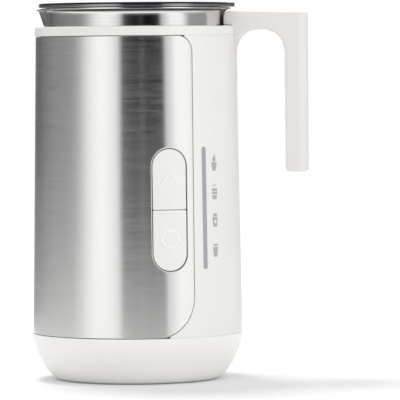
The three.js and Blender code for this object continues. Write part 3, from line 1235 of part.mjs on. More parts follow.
/** The lid: a disc with a thumb tab over the handle, and a skirt with a rib under its seal. */
function lidGeometry() {
  const skirt = ring([
    [LID_SKIRT_OUTER - LID_SKIRT_WALL, LID_SKIRT_BOTTOM],
    [LID_SKIRT_OUTER + SEAL_THICKNESS / 2, LID_SKIRT_BOTTOM],
    [LID_SKIRT_OUTER + SEAL_THICKNESS / 2, LID_SKIRT_BOTTOM + LID_RIB],
    [LID_SKIRT_OUTER, LID_SKIRT_BOTTOM + LID_RIB],
    [LID_SKIRT_OUTER, LID_BOTTOM + LID_EDGE],
    [LID_SKIRT_OUTER - LID_SKIRT_WALL, LID_BOTTOM + LID_EDGE],
  ], ROUND_INNER);
  const tab = turned(lidOutline(LID_TAB_RADIUS), TAB_FACETS)
    .translate(LID_RADIUS + LID_TAB_REACH - LID_TAB_RADIUS, 0, 0);
  return join(turned(lidOutline(LID_RADIUS)), tab, skirt);
}

/** The seal round the lid's skirt, with a lip that leans on the jug. */
const lidSeal = () => ring([
  [LID_SKIRT_OUTER + GAP, SEAL_BOTTOM],
  [SEAL_OUTER - SEAL_THICKNESS / 2, SEAL_BOTTOM],
  [SEAL_OUTER, SEAL_BOTTOM + SEAL_HEIGHT * 0.4],
  [SEAL_OUTER - SEAL_THICKNESS / 2, SEAL_BOTTOM + SEAL_HEIGHT],
  [LID_SKIRT_OUTER + GAP, SEAL_BOTTOM + SEAL_HEIGHT],
], ROUND_INNER);

function lid() {
  return group(
    piece('lid', lidGeometry(), DARK_LID),
    piece('lid_seal', lidSeal(), SILICONE),
  );
}

// ---------------------------------------------------------------------------------------------
// Whisk
// ---------------------------------------------------------------------------------------------

const BUSH_INNER = SPINDLE_RADIUS + GAP;
const BUSH_OUTER = BUSH_INNER + BUSH_WALL;
const BUSH_BOTTOM = SPINDLE_BOTTOM + SPINDLE_FOOT_HEIGHT + GAP;
const BUSH_TOP = SPINDLE_TOP + GAP + BUSH_WALL;
const HUB_INNER = BUSH_OUTER + GAP;
const HUB_BOTTOM = BUSH_BOTTOM;
const MAGNET_RING_INNER = HUB_INNER + HUB_WALL + GAP;
const MAGNET_RING_OUTER = MAGNET_RING_INNER + WHISK_MAGNET_WIDTH;
const HUB_OUTER = MAGNET_RING_OUTER + GAP + HUB_WALL;
const HUB_SHOULDER = HUB_BOTTOM + WHISK_MAGNET_HEIGHT + GAP + HUB_WALL;
const WHISK_LEVEL = HUB_SHOULDER - WHISK_RING_THICKNESS / 2;

/** The bush is a cap that stays still on the spindle while the hub turns round it. */
const whiskBush = () => turned([
  [0, BUSH_TOP - BUSH_WALL],
  [BUSH_INNER, BUSH_TOP - BUSH_WALL],
  [BUSH_INNER, BUSH_BOTTOM],
  [BUSH_OUTER, BUSH_BOTTOM],
  [BUSH_OUTER, BUSH_TOP],
  [0, BUSH_TOP],
], ROUND_SMALL);

/** The hub with the magnet's groove underneath, its spokes, and the ring that carries the coil. */
function whiskHub() {
  const top = BUSH_TOP + GAP + HUB_WALL;
  const hub = ring([
    [HUB_INNER, HUB_BOTTOM],
    [HUB_INNER + HUB_WALL, HUB_BOTTOM],
    [HUB_INNER + HUB_WALL, HUB_SHOULDER - HUB_WALL],
    [HUB_OUTER - HUB_WALL, HUB_SHOULDER - HUB_WALL],
    [HUB_OUTER - HUB_WALL, HUB_BOTTOM],
    [HUB_OUTER, HUB_BOTTOM],
    [HUB_OUTER, HUB_SHOULDER],
    [HUB_INNER + 2 * HUB_WALL, HUB_SHOULDER],
    [HUB_INNER + HUB_WALL, top],
    [HUB_INNER, top],
  ], ROUND_SMALL);
  const cap = disc(HUB_INNER + HUB_WALL / 2, top - HUB_WALL, top);
  const core = new THREE.TorusGeometry(WHISK_RING_RADIUS, WHISK_RING_THICKNESS / 2, 4, 20)
    .translate(0, 0, WHISK_LEVEL);
  const reach = WHISK_RING_RADIUS - HUB_OUTER + HUB_WALL / 2;
  const spokes = Array.from({ length: WHISK_SPOKES }, (_, i) =>
    block(reach, WHISK_SPOKE_WIDTH, WHISK_RING_THICKNESS / 2,
      HUB_OUTER - HUB_WALL / 2 + reach / 2, 0, WHISK_LEVEL).rotateZ(2 * Math.PI * i / WHISK_SPOKES));
  return join(hub, cap, core, ...spokes);
}

const whiskMagnet = () => tube(MAGNET_RING_INNER, MAGNET_RING_OUTER,
  HUB_SHOULDER - HUB_WALL - GAP - WHISK_MAGNET_HEIGHT, HUB_SHOULDER - HUB_WALL - GAP);

/** The path of a wire wound round the whisk's ring, outside the ring at every spoke. */
class RingCoilCurve extends THREE.Curve {
  getPoint(t, target = new THREE.Vector3()) {
    const around = 2 * Math.PI * t;
    const wound = around * WHISK_SPOKES * WHISK_TURNS_PER_SPOKE;
    const radius = WHISK_RING_RADIUS + WHISK_COIL_RADIUS * Math.cos(wound);
    return target.set(radius * Math.cos(around), radius * Math.sin(around),
      WHISK_LEVEL + WHISK_COIL_RADIUS * Math.sin(wound));
  }
}

function whiskCoil() {
  const turns = WHISK_SPOKES * WHISK_TURNS_PER_SPOKE;
  return new THREE.TubeGeometry(new RingCoilCurve(), turns * WHISK_STEPS_PER_TURN, WHISK_WIRE_RADIUS,
    WHISK_WIRE_SIDES, true);
}

function whisk() {
  return group(
    piece('whisk_bush', whiskBush(), GREY),
    piece('whisk_hub', whiskHub(), BLACK),
    piece('whisk_magnet', whiskMagnet(), STEEL),
    piece('whisk_coil', whiskCoil(), STEEL),
  );
}

// ---------------------------------------------------------------------------------------------
// The whole frother
// ---------------------------------------------------------------------------------------------

const frother = group(base(), heaterAndDrive(), body(), controls(), jug(), lid(), whisk());
frother.name = 'milk_frother';

export default frother;
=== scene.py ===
"""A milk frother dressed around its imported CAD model.

The jug with its handle, lid and whisk stands in a tapered housing of brushed steel and white
plastic on a rounded base. Sizes are in millimetres, and meshes are made in metres.
"""

import functools
import logging
import math
from dataclasses import dataclass, field
from enum import Enum
from typing import Any, Callable, ClassVar, Iterable, Sequence

import bmesh
import bpy
import numpy as np
from mathutils import Matrix, Vector
from mathutils.geometry import delaunay_2d_cdt


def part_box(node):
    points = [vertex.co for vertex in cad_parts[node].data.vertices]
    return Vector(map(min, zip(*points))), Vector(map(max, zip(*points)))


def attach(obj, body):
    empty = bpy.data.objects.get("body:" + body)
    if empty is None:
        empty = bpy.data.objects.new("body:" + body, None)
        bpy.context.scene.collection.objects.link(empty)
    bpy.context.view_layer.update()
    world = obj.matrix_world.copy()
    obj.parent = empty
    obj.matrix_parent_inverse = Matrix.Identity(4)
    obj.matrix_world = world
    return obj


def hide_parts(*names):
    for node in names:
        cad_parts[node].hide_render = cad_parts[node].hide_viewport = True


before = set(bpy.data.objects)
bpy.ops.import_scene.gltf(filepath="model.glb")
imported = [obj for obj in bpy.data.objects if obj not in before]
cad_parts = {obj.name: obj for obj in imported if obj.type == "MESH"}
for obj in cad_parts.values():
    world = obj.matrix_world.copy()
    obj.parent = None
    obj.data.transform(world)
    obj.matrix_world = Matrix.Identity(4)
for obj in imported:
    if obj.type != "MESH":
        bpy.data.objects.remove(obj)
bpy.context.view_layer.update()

LOG = logging.getLogger("frother")
MM = 0.001
TINY = 1e-4  # millimetres; a smaller radius is a point on the axis
STRAIGHT = 1e-6  # tangent of half a corner's turn; a smaller one is no corner
CORNER_SHARE = 0.49  # a rounded corner takes up no more than this share of its shorter side
LARGE_FACE_WEIGHT = 80  # per cent; how much large faces lead when normals are averaged
NUDGE = 0.05  # millimetres; a step along a surface to tell which way it runs
LOW, HIGH = 0, 1  # the two corners of a CAD node's box

Piece = bpy.types.Object
Socket = bpy.types.NodeSocket
Pair = tuple[float, float]
Triple = tuple[float, float, float]
Colour = Triple
Corner = Triple
Edge = tuple[float, float, float, float]
Loop = list[Edge]
Surface = Callable[[float, float, float], tuple[Vector, Vector]]
Bend = Callable[[float, Edge], Pair]


@functools.cache
def box_mm(node: str) -> tuple[Vector, Vector]:
    """Gives the lowest and the highest corner of a CAD node in millimetres."""
    low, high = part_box(node)
    return Vector(low) / MM, Vector(high) / MM


def from_box(node: str, corner: int, axis: str, share: float = 1.0, more: float = 0.0) -> Any:
    """Gives a field that is a share of a CAD box's corner along an axis, and more."""
    return field(default_factory=lambda: share * getattr(box_mm(node)[corner], axis) + more)


def unit(value: float) -> float:
    """Keeps a value between 0 and 1."""
    return min(max(value, 0.0), 1.0)


def polar(radius: float, angle: float) -> Pair:
    """Gives the place at a radius and an angle in radians."""
    return radius * math.cos(angle), radius * math.sin(angle)


def even_turns(count: int) -> list[float]:
    """Gives evenly spaced angles round a whole turn."""
    return [2 * math.pi * step / count for step in range(count)]


def bezier(ends: Sequence[Sequence[float]], share: float) -> Pair:
    """Gives a place along a cubic curve.

    Args:
        ends: The curve's start, the two points that pull it, and its end.
        share: Share of the way along it.

    Returns:
        The place.
    """
    rest = 1 - share
    weights = (rest ** 3, 3 * share * rest ** 2, 3 * share * share * rest, share ** 3)
    return tuple(sum(w * end[axis] for w, end in zip(weights, ends)) for axis in (0, 1))


# ---- Outlines: loops of (x, y, normal x, normal y) with the material on their left ----


def rounded(corners: Sequence[Corner], steps: int = 5, closed: bool = True) -> Loop:
    """Rounds the corners of an outline and gives the way it faces at each point.

    Args:
        corners: Points with the radius of each, in order, the material on their left.
        steps: Steps in each rounded corner.
        closed: Whether the last point joins the first.

    Returns:
        The outline's points with their normals.
    """
    points = [Vector(corner[:2]) for corner in corners]
    count = len(points)
    made: Loop = []
    for index, (point, corner) in enumerate(zip(points, corners)):
        before, after = point - points[index - 1], points[(index + 1) % count] - point
        shortest = min(before.length, after.length)
        before.normalize()
        after.normalize()
        turn = math.atan2(before.x * after.y - before.y * after.x, before.dot(after))
        tangent = math.tan(abs(turn) / 2)
        if not closed and index in (0, count - 1):
            along = before if index else after
        elif tangent < STRAIGHT:
            along = before
        elif corner[2] <= 0:
            along = (before + after).normalized()
        else:
            radius = min(corner[2], CORNER_SHARE * shortest / tangent)
            side = math.copysign(1.0, turn)
            first = Vector((before.y, -before.x))
            centre = point - before * radius * tangent - first * side * radius
            for step in range(steps + 1):
                cos, sin = polar(1.0, turn * step / steps)
                normal = Vector((first.x * cos - first.y * sin, first.x * sin + first.y * cos))
                made.append((*(centre + normal * side * radius), *normal))
            continue
        made.append((*point, along.y, -along.x))
    return made


def spaced(loop: Loop, pitch: float) -> Loop:
    """Adds points along the long straight lines of a closed outline.

    Args:
        loop: The outline.
        pitch: The longest step that stays.

    Returns:
        The outline with its long steps divided.
    """
    made: Loop = []
    for index, edge in enumerate(loop):
        following = loop[(index + 1) % len(loop)]
        length = math.hypot(following[0] - edge[0], following[1] - edge[1])
        parts = max(1, math.ceil(length / pitch))
        for part in range(parts):
            share = part / parts
            made.append(tuple(a + (b - a) * share for a, b in zip(edge, following)))
    return made


def inset(loop: Loop, distance: float) -> Loop:
    """Moves an outline into its material by a distance."""
    return [(x - nx * distance, y - ny * distance, nx, ny) for x, y, nx, ny in loop]


def reversed_loop(loop: Loop) -> Loop:
    """Turns an outline into a hole of the same shape."""
    return [(x, y, -nx, -ny) for x, y, nx, ny in reversed(loop)]


def stadium(width: float, length: float, height: float, steps: int = 16) -> Loop:
    """Gives an upright slot with round ends.

    Args:
        width: Its width.
        length: Its length.
        height: Height of its middle.
        steps: Steps in each quarter of its ends.

    Returns:
        The outline.
    """
    half, reach = width / 2, length / 2
    ends = ((-half, -reach), (half, -reach), (half, reach), (-half, reach))
    return rounded([(x, height + z, half) for x, z in ends], steps)


def circle(radius: float, x: float, y: float, steps: int) -> Loop:
    """Gives a round outline about (x, y)."""
    return [(x + radius * math.cos(a), y + radius * math.sin(a), math.cos(a), math.sin(a))
            for a in even_turns(steps)]


def are_inside(places: np.ndarray, loops: Sequence[Loop]) -> np.ndarray:
    """Tells which places lie in the material of a set of outlines.

    Args:
        places: One (x, y) row for each place.
        loops: The outline and its holes.

    Returns:
        One truth value for each place.
    """
    inside = np.zeros(len(places), dtype=bool)
    px, py = places[:, 0], places[:, 1]
    for loop in loops:
        for index, edge in enumerate(loop):
            ax, ay = loop[index - 1][:2]
            bx, by = edge[:2]
            if ay == by:
                continue
            crosses = (ay > py) != (by > py)
            inside ^= crosses & (px < (bx - ax) * (py - ay) / (by - ay) + ax)
    return inside


# ---- Skins ----


class Skin:
    """A mesh in the making: points in millimetres, the way each faces, and faces."""

    least_room: ClassVar[float] = 0.35  # pitches between a cap's outline and the points inside
    same_point: ClassVar[float] = 1e-7

    def __init__(self) -> None:
        """Starts an empty skin."""
        self.points: list[Vector] = []
        self.facing: list[Vector] = []
        self.faces: list[tuple[int, ...]] = []

    def add(self, point: Vector, facing: Vector) -> int:
        """Adds a point and gives its number."""
        self.points.append(point)
        self.facing.append(facing)
        return len(self.points) - 1

    def band(self, first: Sequence[int], second: Sequence[int]) -> None:
        """Joins two rows that run round by faces.

        Args:
            first: Numbers of the first row's points, or of a single one.
            second: Numbers of the second row's points, or of a single one.
        """
        count = max(len(first), len(second))
        for index in range(count):
            after = (index + 1) % count
            if len(first) == 1:
                self.faces.append((first[0], second[after], second[index]))
            elif len(second) == 1:
                self.faces.append((first[index], first[after], second[0]))
            else:
                self.faces.append((first[index], first[after], second[after], second[index]))

    def join(self, rows: Sequence[Sequence[int]], closed: bool) -> "Skin":
        """Joins each row to the next one, and the last to the first if closed."""
        for first, second in zip(rows, [*rows[1:], *(rows[:1] if closed else ())]):
            if len(first) > 1 or len(second) > 1:
                self.band(first, second)
        return self

    def turn(self, outline: Loop, turns: int | Sequence[float], closed: bool = True,
             place: Pair = (0.0, 0.0), bend: Bend | None = None, side: float = 1.0) -> "Skin":
        """Turns an outline of (radius, height) round an upright axis.

        Args:
            outline: The outline, the material on its left.
            turns: The columns' angles, or how many even columns there are.
            closed: Whether the last point joins the first.
            place: The axis.
            bend: Gives a radius and a height for an angle and a point of the outline.
            side: -1 where angles are measured from the axis's far side.

        Returns:
            The skin itself.
        """
        if isinstance(turns, int):
            turns = even_turns(turns)
        rows = []
        for edge in outline:
            radius, height, out, up = edge
            if radius < TINY:
                rows.append([self.add(Vector((*place, height)), Vector((0, 0, up)))])
                continue
            row = []
            for angle in turns:
                if bend:
                    radius, height = bend(angle, edge)
                across, along = side * math.cos(angle), side * math.sin(angle)
                row.append(self.add(
                    Vector((place[0] + radius * across, place[1] + radius * along, height)),
                    Vector((out * across, out * along, up))))
            rows.append(row)
        return self.join(rows, closed)

    def cap(self, loops: Sequence[Loop], numbers: Sequence[Sequence[int]], surface: Surface,
            depth: float, side: float, pitch: Pair) -> None:
        """Fills an outline and its holes with triangles that follow a surface.

        Args:
            loops: The outline and its holes.
            numbers: The skin's numbers of their points.
            surface: Gives a point and its normal for (x, y, depth).
            depth: Depth of the cap below the surface.
            side: 1 for a cap that faces out, -1 for one that faces in.
            pitch: Spacing of the points inside, across and up.
        """
        origin = loops[0][0][:2]
        loops = [[(*np.float32((x - origin[0], y - origin[1])).tolist(), nx, ny)
                  for x, y, nx, ny in loop] for loop in loops]
        flat = [edge[:2] for loop in loops for edge in loop]
        known = [number for row in numbers for number in row]
        lines: list[tuple[int, int]] = []
        for loop in loops:
            start, count = len(lines), len(loop)
            lines += [(start + i, start + (i + 1) % count) for i in range(count)]
        outline = np.array(flat)
        low, high = outline.min(axis=0), outline.max(axis=0)
        across, up = (np.arange(low[i] + pitch[i] / 2, high[i], pitch[i]) for i in (0, 1))
        grid = np.array([(x, y) for x in across for y in up]).reshape(-1, 2)
        grid = grid[are_inside(grid, loops)]
        apart = np.linalg.norm(grid[:, None, :] - outline[None, :, :], axis=2).min(axis=1)
        for x, y in grid[apart > self.least_room * min(pitch)]:
            point, normal = surface(x + origin[0], y + origin[1], depth)
            known.append(self.add(point, normal * side))
            flat.append((x, y))
        made, _, faces, origins, _, _ = delaunay_2d_cdt(
            [Vector(place) for place in flat], lines, [], 0, self.same_point)
        middles = np.array([[sum(made[i][axis] for i in face) / len(face) for axis in (0, 1)]
                            for face in faces])
        for face, keep in zip(faces, are_inside(middles, loops)):
            if keep and all(origins[i] for i in face):
                corners = tuple(known[origins[i][0]] for i in face)
                if len(set(corners)) == len(corners):
                    self.faces.append(corners)

    def plate(self, loops: Sequence[Loop], surface: Surface, depths: Pair,
              rounds: Pair = (0.3, 0.1), pitch: Pair = (3.0, 12.0), steps: int = 4,
              spreads: Sequence[float] = ()) -> "Skin":
        """Makes a plate that follows a surface, with rounded edges.

        Args:
            loops: The outline and its holes.
            surface: Gives a point and its normal for (x, y, depth).
            depths: Depth of the outer face and of the inner face.
            rounds: Radius of the outer and of the inner edges.
            pitch: Spacing of the points inside, across and up.
            steps: Steps in each rounded edge.
            spreads: How much wider than deep each outline's outer edge is rolled.

        Returns:
            The skin itself.
        """
        even = [1.0] * len(loops)
        spreads = [*spreads, *even[len(spreads):]]
        turns = [math.pi / 2 * step / steps for step in range(steps + 1)]
        stages = [(rounds[0] * (1 - math.sin(turn)), depths[0] + rounds[0] * (1 - math.cos(turn)),
                   math.cos(turn), math.sin(turn), spreads) for turn in turns]
        stages += [(rounds[1] * (1 - math.cos(turn)), depths[1] - rounds[1] * (1 - math.sin(turn)),
                    -math.sin(turn), math.cos(turn), even) for turn in turns]
        rows = [[self.edge_row(inset(loop, back * width), surface, depth, out * width, along)
                 for loop, width in zip(loops, widths)]
                for back, depth, out, along, widths in stages]
        for upper, lower in zip(rows, rows[1:]):
            for first, second in zip(upper, lower):
                self.band(second, first)
        self.cap([inset(loop, rounds[0] * width) for loop, width in zip(loops, spreads)],
                 rows[0], surface, depths[0], 1.0, pitch)
        self.cap([inset(loop, rounds[1]) for loop in loops], rows[-1], surface,
                 depths[1], -1.0, pitch)
        return self

    def edge_row(self, loop: Loop, surface: Surface, depth: float, out: float,
                 along: float) -> list[int]:
        """Adds one row of points round a plate's edge.

        Args:
            loop: The row's outline.
            surface: Gives a point and its normal for (x, y, depth).
            depth: The row's depth.
            out: How much it faces away from the surface.
            along: How much it faces along the surface.

        Returns:
            The numbers of its points.
        """
        numbers = []
        for x, y, nx, ny in loop:
            point, normal = surface(x, y, depth)
            ahead, _ = surface(x + nx * NUDGE, y + ny * NUDGE, depth)
            sideways = (ahead - point).normalized()
            numbers.append(self.add(point, (normal * out + sideways * along).normalized()))
        return numbers

    def build(self, name: str, finish: "Finish", crease: float = 0.0) -> Piece:
        """Makes the mesh object.

        Args:
            name: Name of the piece.
            finish: Its finish.
            crease: Angle in degrees over which an edge is sharp. 0 keeps the skin's own normals.

        Returns:
            The new object.
        """
        piece = new_object(name, [point * MM for point in self.points], self.faces,
                           finish.material())
        mesh = piece.data
        shaped = bmesh.new()
        shaped.from_mesh(mesh)
        bmesh.ops.recalc_face_normals(shaped, faces=shaped.faces)
        shaped.to_mesh(mesh)
        shaped.free()
        mesh.shade_smooth()
        if crease:
            even_shading(piece, crease)
        else:
            mesh.normals_split_custom_set_from_vertices(
                [tuple(facing.normalized()) for facing in self.facing])
        return piece


def new_object(name: str, points: Sequence[Vector], faces: Sequence[tuple[int, ...]],
               material: bpy.types.Material) -> Piece:
    """Adds a mesh object to the scene.

    Args:
        name: Its name.
        points: Its points in metres.
        faces: Its faces.
        material: Its material.

    Returns:
        The new object.
    """
    mesh = bpy.data.meshes.new(name)
    mesh.from_pydata(points, [], faces)
    mesh.materials.append(material)
    made = bpy.data.objects.new(name, mesh)
    bpy.context.scene.collection.objects.link(made)
    return made


def lathe(name: str, finish: "Finish", corners: Sequence[Corner], columns: int, steps: int = 5,
          closed: bool = False, crease: float = 0.0, place: Pair = (0.0, 0.0)) -> Piece:
    """Makes a turned piece.

    Args:
        name: Its name.
        finish: Its finish.
        corners: The outline's points as (radius, height), with the rounding of each.
        columns: Columns round the axis.
        steps: Steps in each rounded corner.
        closed: Whether the outline runs round, clear of the axis.
        crease: Angle in degrees over which an edge is sharp.
        place: The axis.

    Returns:
        The new object.
    """
    return Skin().turn(rounded(corners, steps, closed), columns, closed, place).build(
        name, finish, crease)


def even_shading(piece: Piece, crease: float) -> None:
    """Shades a piece smooth up to an angle, weighted by the size of its faces.

    Args:
        piece: The piece.
        crease: The angle in degrees.
    """
    piece.data.shade_smooth()
    piece.data.set_sharp_from_angle(angle=math.radians(crease))
    weighted = piece.modifiers.new("even", "WEIGHTED_NORMAL")
    weighted.keep_sharp = True
    weighted.weight = LARGE_FACE_WEIGHT


def carve(piece: Piece, tools: Iterable[Piece], crease: float) -> None:
    """Cuts closed tools out of a piece, removes them, and shades the piece again.

    Args:
        piece: The piece.
        tools: What is cut out of it, one after the other.
        crease: Angle in degrees over which an edge is sharp.
    """
    for tool in tools:
        cutter = piece.modifiers.new("cut", "BOOLEAN")
        cutter.operation = "DIFFERENCE"
        cutter.solver = "EXACT"
        cutter.object = tool
        bpy.context.view_layer.update()
        graph = bpy.context.evaluated_depsgraph_get()
        made = bpy.data.meshes.new_from_object(piece.evaluated_get(graph))
        piece.modifiers.remove(cutter)
        piece.data = made
        bpy.data.objects.remove(tool)
    even_shading(piece, crease)


def settle(piece: Piece, body: str, slot: str, *nodes: str) -> None:
    """Sets a piece on its body and lets it stand for CAD nodes.

    Args:
        piece: The piece.
        body: The CAD body that it moves with.
        slot: Not used.
        *nodes: CAD nodes that it replaces.
    """
    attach(piece, body)
    if nodes:
        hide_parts(*nodes)
    LOG.info("%s: %d faces on %s, for %s", piece.name, len(piece.data.polygons), body,
             ", ".join(nodes) or "no node")


def level_surface(height: float) -> Surface:
    """Gives a level surface that faces up, for plates that lie flat."""
    return lambda x, y, depth: (Vector((x, y, height - depth)), Vector((0, 0, 1)))


# ---- Finishes ----


class Graph:
    """A node tree in the making."""

    def __init__(self, owner: bpy.types.Material | bpy.types.World) -> None:
        """Starts an empty tree.

        Args:
            owner: The material or world whose tree it is.
        """
        owner.use_nodes = True
        self.tree = owner.node_tree
        self.tree.nodes.clear()

    def fill(self, node: bpy.types.Node, inputs: dict[str | int, Any]) -> None:
        """Sets a node's inputs to values, or links them to other nodes' outputs."""
        for key, value in inputs.items():
            if isinstance(value, Socket):
                self.tree.links.new(value, node.inputs[key])
            else:
                node.inputs[key].default_value = value

    def node(self, kind: str, inputs: dict[str | int, Any] | None = None, output: str | int = 0,
             **values: Any) -> Socket | None:
        """Adds a node.

        Args:
            kind: Its type, without the ShaderNode before it.
            inputs: Values or outputs for its inputs.
            output: Which of its outputs is wanted.
            **values: The node's own properties.

        Returns:
            The wanted output, if it has any.
        """
        made = self.tree.nodes.new("ShaderNode" + kind)
        for key, value in values.items():
            setattr(made, key, value)
        self.fill(made, inputs or {})
        return made.outputs[output] if made.outputs else None

    def spread(self, value: Socket, ends: Sequence[float]) -> Socket:
        """Spreads a value's range over another: from and to, then the ends that they become."""
        return self.node("MapRange", {"Value": value, **dict(zip(
            ("From Min", "From Max", "To Min", "To Max"), ends))}, "Result")

    def ramp(self, factor: Socket, stops: Sequence[tuple[float, Colour]]) -> Socket:
        """Adds a colour ramp.

        Args:
            factor: The factor.
            stops: The ramp's stops as (place, colour).

        Returns:
            The colour along it.
        """
        made = self.tree.nodes.new("ShaderNodeValToRGB")
        elements = made.color_ramp.elements
        while len(elements) < len(stops):
            elements.new(0.5)
        for element, (place, colour) in zip(elements, stops):
            element.position = place
            element.color = (*colour, 1.0)
        self.fill(made, {"Fac": factor})
        return made.outputs["Color"]

    def highest(self, *values: Socket) -> Socket:
        """Gives the highest of some values."""
        return functools.reduce(
            lambda one, two: self.node("Math", {0: one, 1: two}, operation="MAXIMUM"), values)


class Tree(Graph):
    """The nodes of a piece's material."""

    middle = (0.3, 0.7)  # the part of a noise's range in which most of it lies

    def __init__(self, name: str) -> None:
        """Starts a material with one Principled shader."""
        self.material = bpy.data.materials.new(name)
        super().__init__(self.material)
        self.shader = self.tree.nodes.new("ShaderNodeBsdfPrincipled")
        self.node("OutputMaterial", {"Surface": self.shader.outputs[0]})
        self.place = self.node("TexCoord", output="Object")

    def set(self, **values: Any) -> None:
        """Fills the shader's own sockets, with _ for a space in their names."""
        self.fill(self.shader, {key.replace("_", " "): value for key, value in values.items()})

    def noise(self, scale: float | Triple, detail: float = 2.0) -> Socket:
        """Gives a noise.

        Args:
            scale: How fine it is per metre, in all directions or along each axis.
            detail: How much finer noise lies over it.

        Returns:
            The noise's value.
        """
        place = self.place
        if isinstance(scale, tuple):
            place, scale = self.stretched(scale), 1.0
        return self.node("TexNoise", {"Scale": scale, "Detail": detail, "Vector": place}, "Fac")

    def stretched(self, scale: Triple) -> Socket:
        """Gives the object's own coordinates stretched by a scale along each axis."""
        return self.node("Mapping", {"Scale": scale, "Vector": self.place})

    def between(self, factor: Socket, low: float, high: float) -> Socket:
        """Spreads a noise's middle range over a range of values."""
        return self.spread(factor, (*self.middle, low, high))

    def about(self, factor: Socket, value: float, less: float, more: float) -> Socket:
        """Spreads a noise's middle range from less to more than a value."""
        return self.between(factor, value - less, value + more)

    def shades(self, factor: Socket, colour: Colour, first: float, second: float,
               ends: Pair = middle) -> Socket:
        """Gives a colour's first share turning into its second between a factor's ends."""
        return self.ramp(factor, [(end, shade(colour, share))
                                  for end, share in zip(ends, (first, second))])

    def bump(self, height: Socket, distance: float, strength: float,
             under: Socket | None = None) -> Socket:
        """Adds a bump of a height in millimetres, over another one if given."""
        inputs = {"Distance": distance * MM, "Strength": strength, "Height": height}
        return self.node("Bump", inputs | ({"Normal": under} if under else {}))


def shade(colour: Colour, share: float) -> Colour:
    """Gives a colour made lighter or darker by a share."""
    return tuple(min(1.0, part * share) for part in colour)


@dataclass(frozen=True)
class Finish:
    """A finish, whose nodes a subclass lays."""

    made: ClassVar[dict[str, bpy.types.Material]] = {}

    name: str
    colour: Colour

    def lay(self, tree: Tree) -> None:
        """Lays the finish's nodes."""
        raise NotImplementedError

    def material(self) -> bpy.types.Material:
        """Gives the finish's material, made once."""
        if self.name not in self.made:
            tree = Tree(self.name)
            self.lay(tree)
            self.made[self.name] = tree.material
        return self.made[self.name]


@dataclass(frozen=True)
class MouldedPlastic(Finish):
    """Moulded plastic with a fine spark-eroded grain and a faint cloudiness."""

    rough: float = 0.36
    grain: float = 2600.0
    grain_height: float = 0.012
    cloud: float = 0.015

    def lay(self, tree: Tree) -> None:
        """Lays the grain, the cloudiness and the uneven gloss."""
        waves = tree.bump(tree.noise(9.0, 1.0), 0.25, 0.12)
        tree.set(Base_Color=tree.shades(tree.noise(14.0, 3.0), self.colour, 1 - self.cloud,
                                        1 + self.cloud),
                 Roughness=tree.about(tree.noise(60.0, 4.0), self.rough, 0.04, 0.04),
                 Normal=tree.bump(tree.noise(self.grain), self.grain_height, 0.6, waves),
                 IOR=1.49)


@dataclass(frozen=True)
class BrushedSteel(Finish):
    """Steel brushed round the upright axis: fine lines of uneven depth along the brushing."""

    rough: float = 0.205
    anisotropy: float = 0.9
    line_height: float = 0.004
    fine_lines: Triple = (30.0, 30.0, 6400.0)
    coarse_lines: Triple = (45.0, 45.0, 1450.0)
    dull: float = 0.935

    def lay(self, tree: Tree) -> None:
        """Lays the brush lines, coarse over fine, and the highlight across them."""
        coarse = tree.noise(self.coarse_lines, 3.0)
        tree.set(Base_Color=tree.shades(coarse, self.colour, 0.98, 1.01),
                 Roughness=tree.about(coarse, self.rough, 0.015, 0.02),
                 Metallic=tree.between(coarse, 1.0, self.dull),
                 Normal=tree.bump(tree.noise(self.fine_lines, 3.0), self.line_height, 0.5),
                 Tangent=tree.node("Tangent", direction_type="RADIAL", axis="Z"),
                 Anisotropic=self.anisotropy, Anisotropic_Rotation=0.25)


@dataclass(frozen=True)
class PolishedSteel(Finish):
    """Drawn and polished steel with faint turning marks and wiped clouds in its gloss."""

    rough: float = 0.14
    marks: float = 1400.0
    mark_height: float = 0.0015

    def lay(self, tree: Tree) -> None:
        """Lays the turning marks and the wiped gloss."""
        marks = tree.noise((12.0, 12.0, self.marks))
        tree.set(Base_Color=tree.shades(marks, self.colour, 0.96, 1.03),
                 Roughness=tree.about(tree.noise(45.0, 4.0), self.rough, 0.03, 0.05),
                 Normal=tree.bump(marks, self.mark_height, 0.5), Metallic=1.0)


@dataclass(frozen=True)
class GlossPlastic(Finish):
    """Glossy tinted plastic with moulding flow and fine rub marks."""

    rough: float = 0.07
    gloss: float = 0.22
    index: float = 1.5

    def lay(self, tree: Tree) -> None:
        """Lays the flow and the rub marks."""
        flow = tree.noise(30.0, 3.0)
        rubs = tree.noise((90.0, 700.0, 300.0), 5.0)
        tree.set(Base_Color=tree.shades(flow, self.colour, 0.85, 1.15),
                 Roughness=tree.about(rubs, self.rough, 0.02, 0.06),
                 Normal=tree.bump(flow, 0.05, 0.15), IOR=self.index,
                 Specular_IOR_Level=self.gloss)


@dataclass(frozen=True)
class SoftMoulding(Finish):
    """Rubber or silicone with a dull, slightly pebbled skin and some dust."""

    rough: float = 0.7
    pebble: float = 900.0
    sheen: float = 0.15

    def lay(self, tree: Tree) -> None:
        """Lays the pebbled skin and the dust."""
        dust = tree.noise(140.0, 6.0)
        pebbles = tree.node("TexVoronoi", {"Scale": self.pebble, "Vector": tree.place}, "Distance")
        tree.set(Base_Color=tree.shades(dust, self.colour, 1.0, 1.25, (0.45, 0.8)),
                 Roughness=tree.about(dust, self.rough, 0.06, 0.08),
                 Normal=tree.bump(pebbles, 0.02, 0.5), Sheen_Weight=self.sheen,
                 Sheen_Roughness=0.5)


